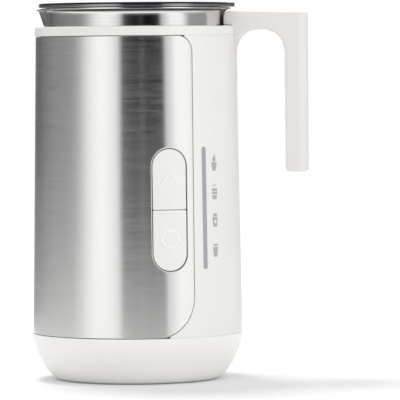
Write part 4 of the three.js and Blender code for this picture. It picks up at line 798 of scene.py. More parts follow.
@dataclass(frozen=True)
class FrostedLens(Finish):
    """Frosted lens plastic that scatters a little light within."""

    rough: float = 0.42

    def lay(self, tree: Tree) -> None:
        """Lays the frost and the small differences along the lens."""
        frost = tree.noise(3800.0)
        tree.set(Base_Color=tree.shades(tree.noise((3.0, 3.0, 60.0), 1.0), self.colour,
                                        0.96, 1.04),
                 Roughness=tree.about(frost, self.rough, 0.08, 0.08),
                 Normal=tree.bump(frost, 0.01, 0.4), Subsurface_Weight=0.15,
                 Subsurface_Scale=0.001, Coat_Weight=0.2)


@dataclass(frozen=True)
class PrintedInk(Finish):
    """Pad-printed ink with a screened edge and an uneven cover."""

    rough: float = 0.5

    def lay(self, tree: Tree) -> None:
        """Lays the ink's cover and its grain."""
        cover = tree.noise(1800.0, 3.0)
        tree.set(Base_Color=tree.shades(cover, self.colour, 1.0, 1.12),
                 Roughness=tree.about(cover, self.rough, 0.08, 0.08),
                 Normal=tree.bump(cover, 0.006, 0.5))


@dataclass(frozen=True)
class CircuitBoard(Finish):
    """Solder mask over copper tracks."""

    tracks: float = 420.0

    def lay(self, tree: Tree) -> None:
        """Lays the tracks and the glass weave."""
        tints = {name: (*shade(self.colour, share), 1.0)
                 for name, share in (("Color1", 1.0), ("Color2", 0.8), ("Mortar", 1.7))}
        bricks = {"Vector": tree.stretched((self.tracks,) * 3), "Mortar Size": 0.06, **tints}
        tree.set(Base_Color=tree.node("TexBrick", bricks, "Color"),
                 Roughness=tree.between(tree.noise(2400.0), 0.28, 0.42),
                 Normal=tree.bump(tree.node("TexBrick", bricks, "Fac"), 0.03, 0.6))


@dataclass(frozen=True)
class WoundCopper(Finish):
    """Varnished copper wire wound in rings."""

    rings: float = 520.0

    def lay(self, tree: Tree) -> None:
        """Lays the turns of wire with painted shade between them, and the varnish."""
        wire = tree.node("TexWave", {"Scale": self.rings, "Distortion": 0.15,
                                     "Vector": tree.place}, "Fac", wave_type="RINGS",
                         rings_direction="Z")
        # The colour darkens where the wire's rings dip: painted shade between the turns.
        tree.set(Base_Color=tree.shades(wire, self.colour, 0.45, 1.0),
                 Roughness=tree.between(tree.noise(300.0), 0.25, 0.4),
                 Normal=tree.bump(wire, 0.2, 0.9), Metallic=0.9, Coat_Weight=0.4)


WHITE = MouldedPlastic("shell_white", (0.845, 0.84, 0.815))
# The marks' white is paler than the buttons': painted highlight, where the raised marks catch the
# light.
MARK_PAINTED_HIGHLIGHT = MouldedPlastic("mark_painted_highlight", (0.92, 0.915, 0.895), rough=0.3)
# The base's white is paler than the shell's: painted light, making up for the light that the floor
# throws onto the base.
BASE_PAINTED_LIGHT_WHITE = MouldedPlastic("base_white_painted_light", (0.915, 0.905, 0.885))
GRIP_WHITE = MouldedPlastic("grip_white", (0.80, 0.775, 0.75), rough=0.4)
GREY = MouldedPlastic("inner_grey", (0.24, 0.245, 0.25), rough=0.42)
BLACK = MouldedPlastic("inner_black", (0.018, 0.018, 0.019), rough=0.45, cloud=0.1)
RUBBER = SoftMoulding("foot_rubber", (0.022, 0.022, 0.023))
SILICONE = SoftMoulding("seal_silicone", (0.50, 0.49, 0.54), rough=0.5, pebble=1800.0, sheen=0.3)
WRAP_STEEL = BrushedSteel("wrap_brushed_steel", (0.74, 0.736, 0.728))
JUG_STEEL = PolishedSteel("jug_polished_steel", (0.70, 0.697, 0.69))
PLAIN_STEEL = PolishedSteel("fastener_steel", (0.62, 0.61, 0.60), rough=0.3, mark_height=0.004)
LID_TINT = GlossPlastic("smoked_lid", (0.005, 0.004, 0.009))
# Paler than the lid's tint: painted light, standing in for the bright band along the lid's edge.
LID_EDGE_PAINTED_LIGHT = GlossPlastic("smoked_lid_edge_painted_light", (0.04, 0.037, 0.054), rough=0.1, gloss=1.0, index=2.1)
LENS = FrostedLens("frosted_lens", (0.385, 0.39, 0.43))
INK = PrintedInk("screen_ink", (0.42, 0.42, 0.41))
BOARD = CircuitBoard("green_board", (0.012, 0.10, 0.045))
COPPER = WoundCopper("copper_winding", (0.72, 0.31, 0.14))


# ---- Studio ----


@dataclass
class Studio:
    """White floor, soft light, the surround that the steel mirrors, and the camera."""

    white: ClassVar[tuple[float, ...]] = (1.0, 1.0, 1.0, 1.0)

    floor_size: float = 12.0
    floor_paleness: float = 0.78
    world_light: float = 0.76
    # The floor's lift: from and to these distances from the shadow's middle, and its strengths.
    shadow_middle: Triple = (0.055, -0.01, 0.0)
    lift: tuple[float, float, float, float] = (0.12, 0.45, 0.11, 0.45)
    surround_radius: float = 0.4
    surround_height: float = 1.5
    surround_columns: int = 180
    surround_light: float = 1.257
    # The surround pales towards the floor: from and to these heights, by these shares.
    low_glow: tuple[float, float, float, float] = (0.02, 0.14, 0.21, 0.0)
    camera_place: Triple = (0.0359, -2.073, 0.182)
    aim_height: float = 0.101
    roll: float = -0.44
    lens: float = 328.5
    sensor: float = 36.0
    clip: float = 100.0
    lamp_aim: float = 0.1
    # Each lamp's name, place, size in metres and power.
    lamps: tuple[tuple[str, Triple, float, float], ...] = (
        ("key_lamp", (-0.2, 0.3, 1.3), 0.34, 8.0),
        ("front_lamp", (-1.1, -1.45, 0.3), 1.2, 4.4),
        ("fill_lamp", (1.25, -0.95, 0.4), 0.9, 5.6),
    )
    # Brightness of the surround by angle in degrees from the camera's side, positive to the right.
    surround: tuple[Pair, ...] = (
        (-180, 1.0), (-158.6, 1.0), (-152.7, 0.16), (-141.9, 0.11), (-131.1, 0.12),
        (-121.4, 0.16), (-105.0, 0.215), (-75.5, 0.265), (-68.0, 0.32), (-59.9, 0.5),
        (-52.5, 0.76), (-45.5, 0.92), (-38.5, 1.0), (-31.5, 0.98), (-24.1, 0.88), (-18.1, 0.7),
        (-13.2, 0.06), (-6.1, 0.025), (2.8, 0.004), (7.4, 0.055), (12.0, 0.0), (26.9, 0.008),
        (30.1, 0.02), (31.9, 0.52), (39.0, 0.76), (43.7, 1.0), (61.0, 1.0), (62.8, 0.8),
        (70.8, 0.33), (103.1, 0.3), (152.7, 0.2), (159.6, 1.0),
    )

    def build(self) -> None:
        """Makes the studio."""
        scene = bpy.context.scene
        scene.view_settings.view_transform = "Standard"
        self.make_world(scene)
        self.make_floor()
        self.make_surround()
        for lamp in self.lamps:
            self.make_lamp(*lamp)
        self.make_camera(scene)

    def make_world(self, scene: bpy.types.Scene) -> None:
        """Makes a world that looks white and lights the object softly.

        Args:
            scene: The scene that takes it.
        """
        world = bpy.data.worlds.new("studio_light")
        scene.world = world
        graph = Graph(world)
        light, seen = (graph.node("Background", {"Color": self.white, "Strength": strength})
                       for strength in (self.world_light, 1.0))
        path = self.light_path(graph)
        looks = graph.highest(*(path[f"Is {ray} Ray"]
                                for ray in ("Camera", "Glossy", "Transmission")))
        mixed = graph.node("MixShader", {0: looks, 1: light, 2: seen})
        graph.node("OutputWorld", {"Surface": mixed})

    @staticmethod
    def light_path(graph: Graph) -> bpy.types.bpy_prop_collection:
        """Gives the outputs that tell which kind of ray asks."""
        return graph.tree.nodes.new("ShaderNodeLightPath").outputs

    def make_floor(self) -> None:
        """Makes the floor: white where it is lit, with the object's shadow on it."""
        material = bpy.data.materials.new("floor_white")
        graph = Graph(material)
        path = self.light_path(graph)
        seen = graph.highest(path["Is Camera Ray"], path["Is Glossy Ray"])
        away = graph.node("VectorMath", {0: graph.node("TexCoord", output="Object"),
                                         1: self.shadow_middle}, "Value", operation="DISTANCE")
        strength = graph.node("Math", {0: seen, 1: graph.spread(away, self.lift)},
                              operation="MULTIPLY")
        lift = graph.node("Emission", {"Color": self.white, "Strength": strength})
        diffuse = graph.node("BsdfDiffuse", {"Color": (*(self.floor_paleness,) * 3, 1.0)})
        graph.node("OutputMaterial", {"Surface": graph.node("AddShader", {0: diffuse, 1: lift})})
        half = self.floor_size / 2
        corners = [(-half, -half, 0), (half, -half, 0), (half, half, 0), (-half, half, 0)]
        new_object("floor", corners, [(0, 1, 2, 3)], material)

    def make_surround(self) -> None:
        """Makes the round wall of pale and dark cards that only the gloss of the object sees."""
        material = bpy.data.materials.new("surround_cards")
        graph = Graph(material)
        place = graph.node("TexCoord", output="Object")
        turned = graph.node("Mapping", {"Rotation": (0.0, 0.0, math.radians(90.0)),
                                        "Vector": place})
        around = graph.node("TexGradient", {"Vector": turned}, "Fac", gradient_type="RADIAL")
        cards = graph.ramp(around, [((angle + 180.0) / 360.0, (brightness,) * 3)
                                    for angle, brightness in self.surround])
        paler = graph.spread(graph.node("SeparateXYZ", {0: place}, "Z"), self.low_glow)
        glow = graph.node("Mix", {"Factor": paler, "A": cards, "B": self.white}, "Result",
                          data_type="RGBA")
        emission = graph.node("Emission", {"Color": glow, "Strength": self.surround_light})
        graph.node("OutputMaterial", {"Surface": emission})
        columns, radius = self.surround_columns, self.surround_radius
        points = [(radius * math.sin(turn), -radius * math.cos(turn), height)
                  for height in (0.0, self.surround_height) for turn in even_turns(columns)]
        faces = [(c, (c + 1) % columns, columns + (c + 1) % columns, columns + c)
                 for c in range(columns)]
        wall = new_object("surround", points, faces, material)
        for ray in ("camera", "diffuse", "transmission", "volume_scatter", "shadow"):
            setattr(wall, f"visible_{ray}", False)

    def make_lamp(self, name: str, place: Triple, size: float,
                  energy: float) -> None:
        """Makes a square soft lamp that faces the object, and that its gloss doesn't show.

        Args:
            name: The lamp's name.
            place: Where it stands.
            size: Its side in metres.
            energy: Its power.
        """
        lamp = bpy.data.lights.new(name, "AREA")
        lamp.shape = "SQUARE"
        lamp.size = size
        lamp.energy = energy
        holder = bpy.data.objects.new(name, lamp)
        holder.location = place
        aim = Vector((0, 0, self.lamp_aim)) - Vector(place)
        holder.rotation_euler = aim.to_track_quat("-Z", "Y").to_euler()
        holder.visible_glossy = False
        bpy.context.scene.collection.objects.link(holder)

    def make_camera(self, scene: bpy.types.Scene) -> None:
        """Makes the camera.

        Args:
            scene: The scene that is seen through it.
        """
        camera = bpy.data.cameras.new("camera")
        camera.lens = self.lens
        camera.sensor_width = self.sensor
        camera.clip_end = self.clip
        holder = bpy.data.objects.new("camera", camera)
        place = Vector(self.camera_place)
        aim = Vector((place.x, 0.0, self.aim_height)) - place
        turned = aim.to_track_quat("-Z", "Y").to_matrix() @ Matrix.Rotation(
            math.radians(self.roll), 3, "Z")
        holder.matrix_world = Matrix.Translation(place) @ turned.to_4x4()
        scene.collection.objects.link(holder)
        scene.camera = holder


# ---- Housing ----


@dataclass
class Shell:
    """The tapered wall of the housing, laid out flat as (way round, height)."""

    low: float = from_box("steel_wrap", LOW, "z")
    high: float = from_box("steel_wrap", HIGH, "z")
    ring_top: float = from_box("top_ring", HIGH, "z")
    foot_radius: float = from_box("steel_wrap", LOW, "x", -1.0)
    top_radius: float = from_box("top_ring", HIGH, "y")
    panel_half_angle: float = 55.87
    seam_lean: float = 1.05
    lean_from: float = 160.0
    top_corner: float = 9.0
    low_corner: float = 23.4
    low_sweep: float = 77.0
    low_steps: int = 14
    top_steps: int = 12
    tongue_half: float = 13.5
    tongue_foot_half: float = 11.4
    tongue_length: float = 32.0
    tongue_corner: float = 4.0

    @property
    def mean(self) -> float:
        """Radius at which ways round are measured."""
        return (self.foot_radius + self.top_radius) / 2

    def radius(self, z: float) -> float:
        """Gives the wall's outer radius at a height."""
        share = (z - self.low) / (self.high - self.low)
        return self.foot_radius + (self.top_radius - self.foot_radius) * share

    def way(self, degrees: float) -> float:
        """Gives the way round to an angle from the handle."""
        return math.radians(degrees) * self.mean

    def place(self, way: float, z: float, depth: float) -> tuple[Vector, Vector]:
        """Gives a point under the wall's face.

        Args:
            way: The way round to it.
            z: Its height.
            depth: Its depth.

        Returns:
            The point, and which way the face looks there.
        """
        angle = way / self.mean
        slope = (self.foot_radius - self.top_radius) / (self.high - self.low)
        normal = Vector((*polar(1.0, angle), slope)).normalized()
        return Vector((*polar(self.radius(z) - depth, angle), z)), normal

    def on_wall(self, loop: Loop, degrees: float) -> Loop:
        """Lays a flat outline of (across, height) onto the wall where it faces an angle."""
        middle = self.way(degrees)
        return [(middle + self.mean * math.asin(x / self.radius(z)), z, nx, nz)
                for x, z, nx, nz in loop]

    def seam(self, grow: float) -> list[Pair]:
        """Draws the side seam.

        Args:
            grow: How far the seam moves from the steel towards the panel.

        Returns:
            Its points from below upwards as (way from the handle, height).
        """
        straight = self.way(self.panel_half_angle)
        lean = self.seam_lean / (self.lean_from - self.low)
        rise = self.low_corner * math.sin(math.radians(self.low_sweep))
        low_radius, top_radius = self.low_corner + grow, self.top_corner + grow
        first = math.asin(min(1.0, rise / low_radius))
        last = math.asin(min(1.0, self.top_corner / top_radius))
        made = []
        for step in range(self.low_steps + 1):
            reach, fall = polar(low_radius, first * (1 - step / self.low_steps))
            made.append((straight + self.low_corner - reach, self.low + rise - fall))
        for step in range(self.top_steps + 1):
            reach, climb = polar(top_radius, last * step / self.top_steps)
            made.append((straight + self.top_corner - reach,
                         self.high - self.top_corner + climb))
        return [(way + lean * max(0.0, self.lean_from - z), z) for way, z in made]

    @property
    def tongue_foot(self) -> float:
        """Height of the tongue's lower end."""
        return self.ring_top - self.tongue_length

    def tongue_width(self, share: float) -> float:
        """Gives half the tongue's width at a share of its length from below."""
        return self.tongue_foot_half + (self.tongue_half - self.tongue_foot_half) * share

    def tongue(self, margin: float, top: float) -> list[Corner]:
        """Gives the corners of the tongue's outline from its upper right to its upper left.

        Args:
            margin: How much wider it is all round.
            top: Height of its upper end.

        Returns:
            Corners with their radii, the tongue on their right.
        """
        foot = self.tongue_foot - margin
        half = self.tongue_width((top - foot) / self.tongue_length) + margin
        low_half = self.tongue_foot_half + margin
        scale = self.mean / self.top_radius
        corner = self.tongue_corner + margin
        return [(half * scale, top, 0.0), (low_half * scale, foot, corner),
                (-low_half * scale, foot, corner), (-half * scale, top, 0.0)]


@dataclass(frozen=True)
class Slot:
    """An upright opening with round ends in the housing's wall."""

    pitch: ClassVar[float] = 4.0

    angle: float
    height: float
    width: float
    length: float

    def outline(self, shell: Shell, less: float = 0.0, turned: float = 0.0) -> Loop:
        """Gives the slot's outline on the wall, smaller by less and turned by some degrees."""
        flat = stadium(self.width - less, self.length - less, self.height)
        return shell.on_wall(flat, self.angle + turned)

    def hole(self, shell: Shell, turned: float = 0.0) -> Loop:
        """Gives the slot's outline as a hole with evenly spaced points."""
        return spaced(reversed_loop(self.outline(shell, turned=turned)), self.pitch)


@dataclass
class Housing:
    """Brushed wrap, white panel, top ring and the well for the jug."""

    shell: Shell
    buttons: Slot = Slot(angle=-70.74, height=97.75, width=20.35, length=68.35)
    light: Slot = Slot(angle=-48.86, height=98.27, width=3.05, length=68.2)
    seam_gap: float = 0.3
    ring_gap: float = 0.35
    hairline: float = 0.05
    wrap_thickness: float = 0.8
    wrap_pitch: float = 4.0
    panel_thickness: float = 2.7
    panel_pitch: float = 3.0
    blunt: float = 0.6
    tongue_depth: float = 1.5
    tongue_gap: float = 0.3
    recess_margin: float = 0.8
    mouth: float = 51.26
    skirt: Pair = (52.66, 54.05)
    ring_columns: int = 150
    notch_columns: int = 16
    notch_sliver: float = 0.04  # degrees
    well_radii: Pair = (50.0, 50.98)
    well_wall: float = 1.4
    well_floor: float = 2.0
    well_round: float = 6.0
    sensor_hole: float = 2.1
    sensor_back: float = 23.85

    def build(self) -> None:
        """Makes the housing's pieces."""
        self.make_wrap()
        self.make_panel()
        self.make_recess_floor()
        self.make_ring()
        self.make_well()

    def make_wrap(self) -> None:
        """Makes the steel sheet with its opening for the buttons."""
        shell = self.shell
        whole = 2 * math.pi * shell.mean
        seam = shell.seam(0.0)
        corners = [(whole - way, z, 0.0) for way, z in seam]
        corners += [(way, z, 0.0) for way, z in reversed(seam)]
        loops = [spaced(rounded(corners), self.wrap_pitch), self.buttons.hole(shell, turned=360.0)]
        made = Skin().plate(loops, shell.place, (0.0, self.wrap_thickness), (0.25, 0.1), steps=6,
                            spreads=(1.2, 4.0)).build("brushed_wrap", WRAP_STEEL)
        settle(made, "housing", "brushed_steel", "steel_wrap")

    def make_panel(self) -> None:
        """Makes the white panel with its slot for the light and its recess for the tongue."""
        shell = self.shell
        seam = [(way, z) for way, z in shell.seam(self.seam_gap)
                if shell.low + self.blunt < z < shell.high - self.blunt]
        low = box_mm("base_cup")[HIGH].z + self.hairline
        high = shell.high + self.ring_gap - self.hairline
        seam = [(seam[0][0], low), *seam, (seam[-1][0], high)]
        corners = [(way, z, 0.0) for way, z in seam]
        corners += shell.tongue(self.tongue_gap, high)
        corners += [(-way, z, 0.0) for way, z in reversed(seam)]
        loops = [spaced(rounded(corners, 8), self.panel_pitch), self.light.hole(shell)]
        made = Skin().plate(loops, shell.place, (0.0, self.panel_thickness),
                            (0.15, 0.1)).build("white_panel", WHITE)
        settle(made, "housing", "white_plastic", "control_panel")

    def make_recess_floor(self) -> None:
        """Makes the floor of the recess that the handle's tongue lies in."""
        shell = self.shell
        corners = list(reversed(shell.tongue(self.recess_margin, shell.high - 0.4)))
        made = Skin().plate([spaced(rounded(corners, 8), self.panel_pitch)], shell.place,
                            (self.tongue_depth, self.panel_thickness - 0.1)).build(
                                "tongue_recess", WHITE)
        settle(made, "housing", "white_plastic")

    def make_ring(self) -> None:
        """Makes the top ring, notched for the tongue."""
        shell, mouth, (skirt_in, skirt_out) = self.shell, self.mouth, self.skirt
        low, high = box_mm("top_ring")
        face, outer = shell.high + self.ring_gap, shell.top_radius
        outline = rounded([
            (outer, face, 0.15), (outer, high.z, 0.8), (mouth + 2.0, high.z, 0.4),
            (mouth, face, 0.3), (skirt_in, face, 0.1), (skirt_in, low.z, 0.2),
            (skirt_out, low.z, 0.2), (skirt_out, face, 0.1),
        ], 5)
        edge = math.asin((shell.tongue_half + self.tongue_gap) / outer)
        sliver, whole = math.radians(self.notch_sliver), 2 * math.pi
        turns = [edge + (whole - 2 * edge) * column / self.ring_columns
                 for column in range(self.ring_columns + 1)]
        turns += [whole - edge + sliver + (2 * edge - 2 * sliver) * column / self.notch_columns
                  for column in range(self.notch_columns + 1)]

        def notched(turn: float, point: Edge) -> Pair:
            """Sets a point of the ring back where the tongue lies.

            Args:
                turn: Its angle.
                point: The point.

            Returns:
                Its radius and its height.
            """
            radius, height = point[:2]
            if abs(math.remainder(turn, whole)) < edge - sliver / 2:
                radius = min(radius, outer - self.tongue_depth)
            return radius, height

        made = Skin().turn(outline, turns, bend=notched).build("mouth_ring", WHITE, crease=40.0)
        settle(made, "housing", "white_plastic", "top_ring")

    def make_well(self) -> None:
        """Makes the well with the hole for the sensor in its floor."""
        low, high = box_mm("jug_well")
        (foot, mouth), wall, floor = self.well_radii, self.well_wall, low.z + self.well_floor
        well = lathe("jug_well_liner", GREY, [
            (0.0, low.z, 0.0), (foot + wall, low.z, self.well_round), (mouth + wall, high.z, 0.2),
            (mouth, high.z, 0.5), (foot, floor, self.well_round), (0.0, floor, 0.0),
        ], columns=160, steps=8, crease=35.0)
        sensor_low, sensor_high = box_mm("temperature_sensor")
        under, over, radius = low.z - 2, floor + 2, self.sensor_hole
        hole = lathe("hole", GREY, [(0.0, under, 0.0), (radius, under, 0.0),
                                    (radius, over, 0.0), (0.0, over, 0.0)], columns=40, steps=1,
                     crease=35.0, place=((sensor_low.x + sensor_high.x) / 2, self.sensor_back))
        carve(well, [hole], crease=35.0)
        settle(well, "housing", "grey_plastic", "jug_well")


# ---- Base ----


@dataclass
class Base:
    """The rounded base cup with its cord gland and feet."""

    feet: ClassVar[int] = 4
    side_steps: ClassVar[int] = 28

    gland_bore: float = 3.1
    gland_sleeve: float = 4.6
    gland_lip: float = 1.6
    clearance: float = 0.3
    cut_reach: float = 70.0
    rim_radius: float = 45.8
    plate_radius: float = 41.3
    wall: float = 3.0
    shelf: float = 3.1
    ledge_reach: float = 8.5
    ledge: float = 2.4

    def build(self) -> None:
        """Makes the base's pieces."""
        self.make_cup()
        self.make_gland()
        for index in range(1, self.feet + 1):
            self.make_foot(index)

    def side(self) -> list[Pair]:
        """Draws the cup's outer side.

        Returns:
            Its points as (radius, height), from the rim up to the seam.
        """
        low, high = box_mm("base_cup")
        ends = ((self.rim_radius, low.z), (52.5, low.z + 2.6), (59.5, high.z - 7.0),
                (high.y, high.z))
        return [bezier(ends, step / self.side_steps) for step in range(self.side_steps + 1)]

    def make_cup(self) -> None:
        """Makes the cup with the round hole for the cord gland."""
        low, high = box_mm("base_cup")
        side = self.side()
        shelf = low.z + self.shelf
        ledge, ledge_radius = shelf + self.ledge, self.plate_radius - self.ledge_reach
        inner = [(radius - self.wall, z) for radius, z in side if ledge + 1.0 < z < high.z - 1.0]
        corners = [(self.plate_radius, low.z, 0.4)]
        corners += [(*point, 0.0) for point in side[:-1]]
        corners += [(*side[-1], 0.2), (side[-1][0] - self.wall, high.z, 0.3)]
        corners += [(*point, 0.0) for point in reversed(inner)]
        corners += [(inner[0][0] - 1.0, ledge, 0.5), (ledge_radius, ledge, 0.4),
                    (ledge_radius, shelf, 0.4), (self.plate_radius, shelf, 0.3)]
        cup = lathe("base_shell", BASE_PAINTED_LIGHT_WHITE, corners, columns=180, steps=4, closed=True)
        near, far = box_mm("cord_gland")
        sleeve = self.gland_sleeve + self.clearance
        lip = self.gland_sleeve + self.gland_lip + self.clearance
        face = far.y - self.gland_lip - self.clearance
        carve(cup, [self.laid_back([(0.0, start, 0.0), (radius, start, 0.0),
                                    (radius, self.cut_reach, 0.0), (0.0, self.cut_reach, 0.0)],
                                   "gland_room", closed=False)
                    for radius, start in ((sleeve, near.y - 5.0), (lip, face))], crease=35.0)
        settle(cup, "housing", "white_plastic", "base_cup")

    @staticmethod
    def laid_back(corners: Sequence[Corner], name: str, closed: bool) -> Piece:
        """Makes a piece turned round the gland's axis, which points back.

        Args:
            corners: The outline's points as (radius, distance), with the rounding of each.
            name: Its name.
            closed: Whether the outline runs round, clear of the axis.

        Returns:
            The new object.
        """
        low, high = box_mm("cord_gland")
        piece = lathe(name, RUBBER, corners, columns=56, closed=closed, crease=35.0)
        piece.data.transform(Matrix.Translation((0, 0, (low.z + high.z) / 2 * MM))
                             @ Matrix.Rotation(math.radians(-90.0), 4, "X"))
        return piece

    def make_gland(self) -> None:
        """Makes the gland: a sleeve with a flange inside and a rounded one outside."""
        near, far = box_mm("cord_gland")
        sleeve, lip = self.gland_sleeve, self.gland_sleeve + self.gland_lip
        inside, outside = near.y + self.gland_lip, far.y - self.gland_lip
        made = self.laid_back([
            (self.gland_bore, near.y, 0.3), (lip, near.y, 0.4), (lip, inside, 0.4),
            (sleeve, inside, 0.2), (sleeve, outside, 0.2), (lip, outside, 0.3),
            (lip, far.y, 0.7), (self.gland_bore, far.y, 0.7),
        ], "gland_bush", closed=True)
        settle(made, "housing", "black_rubber", "cord_gland")

    @staticmethod
    def make_foot(index: int) -> None:
        """Makes a foot with a rounded lower edge.

        Args:
            index: Its number.
        """
        low, high = box_mm(f"foot_{index}")
        middle, radius = (low + high) / 2, (high.x - low.x) / 2
        made = lathe(f"rubber_foot_{index}", RUBBER, [
            (0.0, low.z, 0.0), (radius, low.z, 0.7), (radius, high.z, 0.2), (0.0, high.z, 0.0),
        ], columns=40, place=(middle.x, middle.y))
        settle(made, "housing", "black_rubber", f"foot_{index}")


# ---- Controls ----


class Half(Enum):
    """The two halves of the button pair."""

    UPPER = 1
    LOWER = -1


@dataclass
class Controls:
    """The two buttons with their raised marks, the light bar and the printed pictograms."""

    shell: Shell
    housing: Housing
    width: float = 19.47
    length: float = 67.47
    split: float = 0.27
    proud: float = 0.12
    corner: float = 0.7
    cap_depths: Pair = (-0.12, 0.27)
    boot_depths: Pair = (0.31, 1.9)
    edge_round: float = 0.27
    inner_round: float = 0.05
    mark_height: float = 0.45
    pictogram_angle: float = -41.0

    def build(self) -> None:
        """Makes the controls."""
        for half, body in ((Half.UPPER, "program_button"), (Half.LOWER, "start_button")):
            name = half.name.lower()
            cap = self.make_plate(half, self.cap_depths, self.edge_round)
            settle(cap.build(f"{name}_button", WHITE), body, "white_plastic", body)
            boot = self.make_plate(half, self.boot_depths, self.inner_round)
            settle(boot.build(f"{name}_boot", RUBBER), body, "black_rubber")
        self.make_chevron()
        self.make_ring_mark()
        self.make_light()
        for index, loops in enumerate(self.pictograms(), 1):
            for part, group in enumerate(loops, 1):
                self.make_print(f"pictogram_{index}_{part}", group)

    def make_plate(self, half: Half, depths: Pair, edge: float) -> Skin:
        """Makes one layer of one half of the pair: the white cap, or the dark boot behind it.

        Args:
            half: Which of the two buttons.
            depths: The layer's outer and inner face, below the shell's surface.
            edge: Rounding of its outer edge.

        Returns:
            The layer's skin.
        """
        side, slot = half.value, self.housing.buttons
        near, far = slot.height + side * self.split / 2, slot.height + side * self.length / 2
        reach = self.width / 2
        corners = [(-reach, near, self.corner), (reach, near, self.corner), (reach, far, reach),
                   (-reach, far, reach)]
        loop = spaced(rounded(corners[::side], 14), 2.5)
        return Skin().plate([self.shell.on_wall(loop, slot.angle)], self.shell.place, depths,
                            (edge, self.inner_round), steps=6)

    def make_mark(self, name: str, loops: Sequence[Loop], edge: float) -> Piece:
        """Makes a raised mark on a button from its flat outline and holes; its paler colour is a
        painted highlight.
        """
        shaped = [self.shell.on_wall(loop, self.housing.buttons.angle) for loop in loops]
        return Skin().plate(shaped, self.shell.place,
                            (-self.proud - self.mark_height, -self.proud + 0.2),
                            (edge, self.inner_round), steps=5).build(name, MARK_PAINTED_HIGHLIGHT)

    def make_chevron(self) -> None:
        """Makes the raised chevron of the upper button."""
        apex, end, reach, half = 117.9, 112.3, 5.2, 0.5
        run = Vector((reach, end - apex)).normalized()
        across = Vector((-run.y, run.x)) * half
        rise = half / run.x
        right = [(reach - across.x, end - across.y, 0.35), (reach + across.x, end + across.y, 0.35)]
        left = [(-x, z, radius) for x, z, radius in reversed(right)]
        corners = [(0.0, apex - rise, 0.2), *right, (0.0, apex + rise, 0.5), *left]
        made = self.make_mark("chevron_mark", [spaced(rounded(corners, 4), 1.0)], 0.32)
        settle(made, "program_button", "white_plastic")

    def make_ring_mark(self) -> None:
        """Makes the raised ring of the lower button."""
        outer, inner = (circle(radius, 0.0, 81.7, 64) for radius in (5.4, 4.0))
        made = self.make_mark("ring_mark", [outer, reversed_loop(inner)], 0.42)
        settle(made, "start_button", "white_plastic")

    def make_light(self) -> None:
        """Makes the frosted light bar."""
        loop = self.housing.light.outline(self.shell, less=0.1)
        made = Skin().plate([spaced(loop, 3.0)], self.shell.place, (0.05, 3.0),
                            (0.25, 0.1)).build("light_strip", LENS)
        settle(made, "housing", "light_lens", "light_bar")

    def make_print(self, name: str, loops: Sequence[Loop]) -> None:
        """Makes one printed shape of a pictogram.

        Args:
            name: Its name.
            loops: Its flat outline and holes.
        """
        shaped = [self.shell.on_wall(loop, self.pictogram_angle) for loop in loops]
        made = Skin().plate(shaped, self.shell.place, (-0.03, 0.05), (0.02, 0.01),
                            steps=1).build(name, INK)
        settle(made, "housing", "grey_plastic")

    @staticmethod
    def pictograms() -> list[list[list[Loop]]]:
        """Gives the four cups.

        Returns:
            A list of shapes for each cup, and an outline with its holes for each shape.
        """

        def cup(low: float, high: float, top: float, foot: float, corner: float) -> Loop:
            """Gives a tapered cup's outline from its heights, half widths and lower rounding."""
            return rounded([(-foot, low, corner), (foot, low, corner), (top, high, 0.3),
                            (-top, high, 0.3)], 5)

        def bar(low: float, high: float, half: float) -> Loop:
            """Gives a rounded bar from its heights and half width."""
            return rounded([(-half, low, 0.3), (half, low, 0.3), (half, high, 0.3),
                            (-half, high, 0.3)], 4)

        flame = [[cup(118.8, 123.6, 2.2, 1.5, 1.0)], [circle(1.45, 0.0, 125.2, 24)],
                 [rounded([(-0.2, 126.4, 0.1), (0.9, 126.9, 0.4), (0.5, 128.4, 0.2),
                           (-0.1, 127.6, 0.2)], 3)]]
        layers = [[cup(102.8, 105.2, 2.1, 1.6, 0.9)], [bar(105.6, 107.0, 2.2)],
                  [bar(107.4, 109.0, 2.2)]]
        layers += [[circle(0.42, x, z, 12)] for x, z in ((-1.1, 110.6), (0.0, 111.1),
                                                         (1.1, 110.6))]
        dome = [[cup(87.5, 93.0, 2.2, 1.6, 0.8), reversed_loop(circle(0.95, 0.1, 90.4, 20))],
                [rounded([(-1.9, 93.4, 0.3), (1.9, 93.4, 0.3), (1.1, 95.0, 0.7),
                          (-1.1, 95.0, 0.7)], 5)]]
        glass = [[cup(70.8, 76.2, 2.1, 1.4, 0.5)],
                 [rounded([(-2.1, 76.6, 0.2), (2.2, 76.9, 0.2), (1.7, 78.2, 0.5),
                           (-1.3, 77.8, 0.5)], 4)]]
        return [flame, layers, dome, glass]


# ---- Jug ----


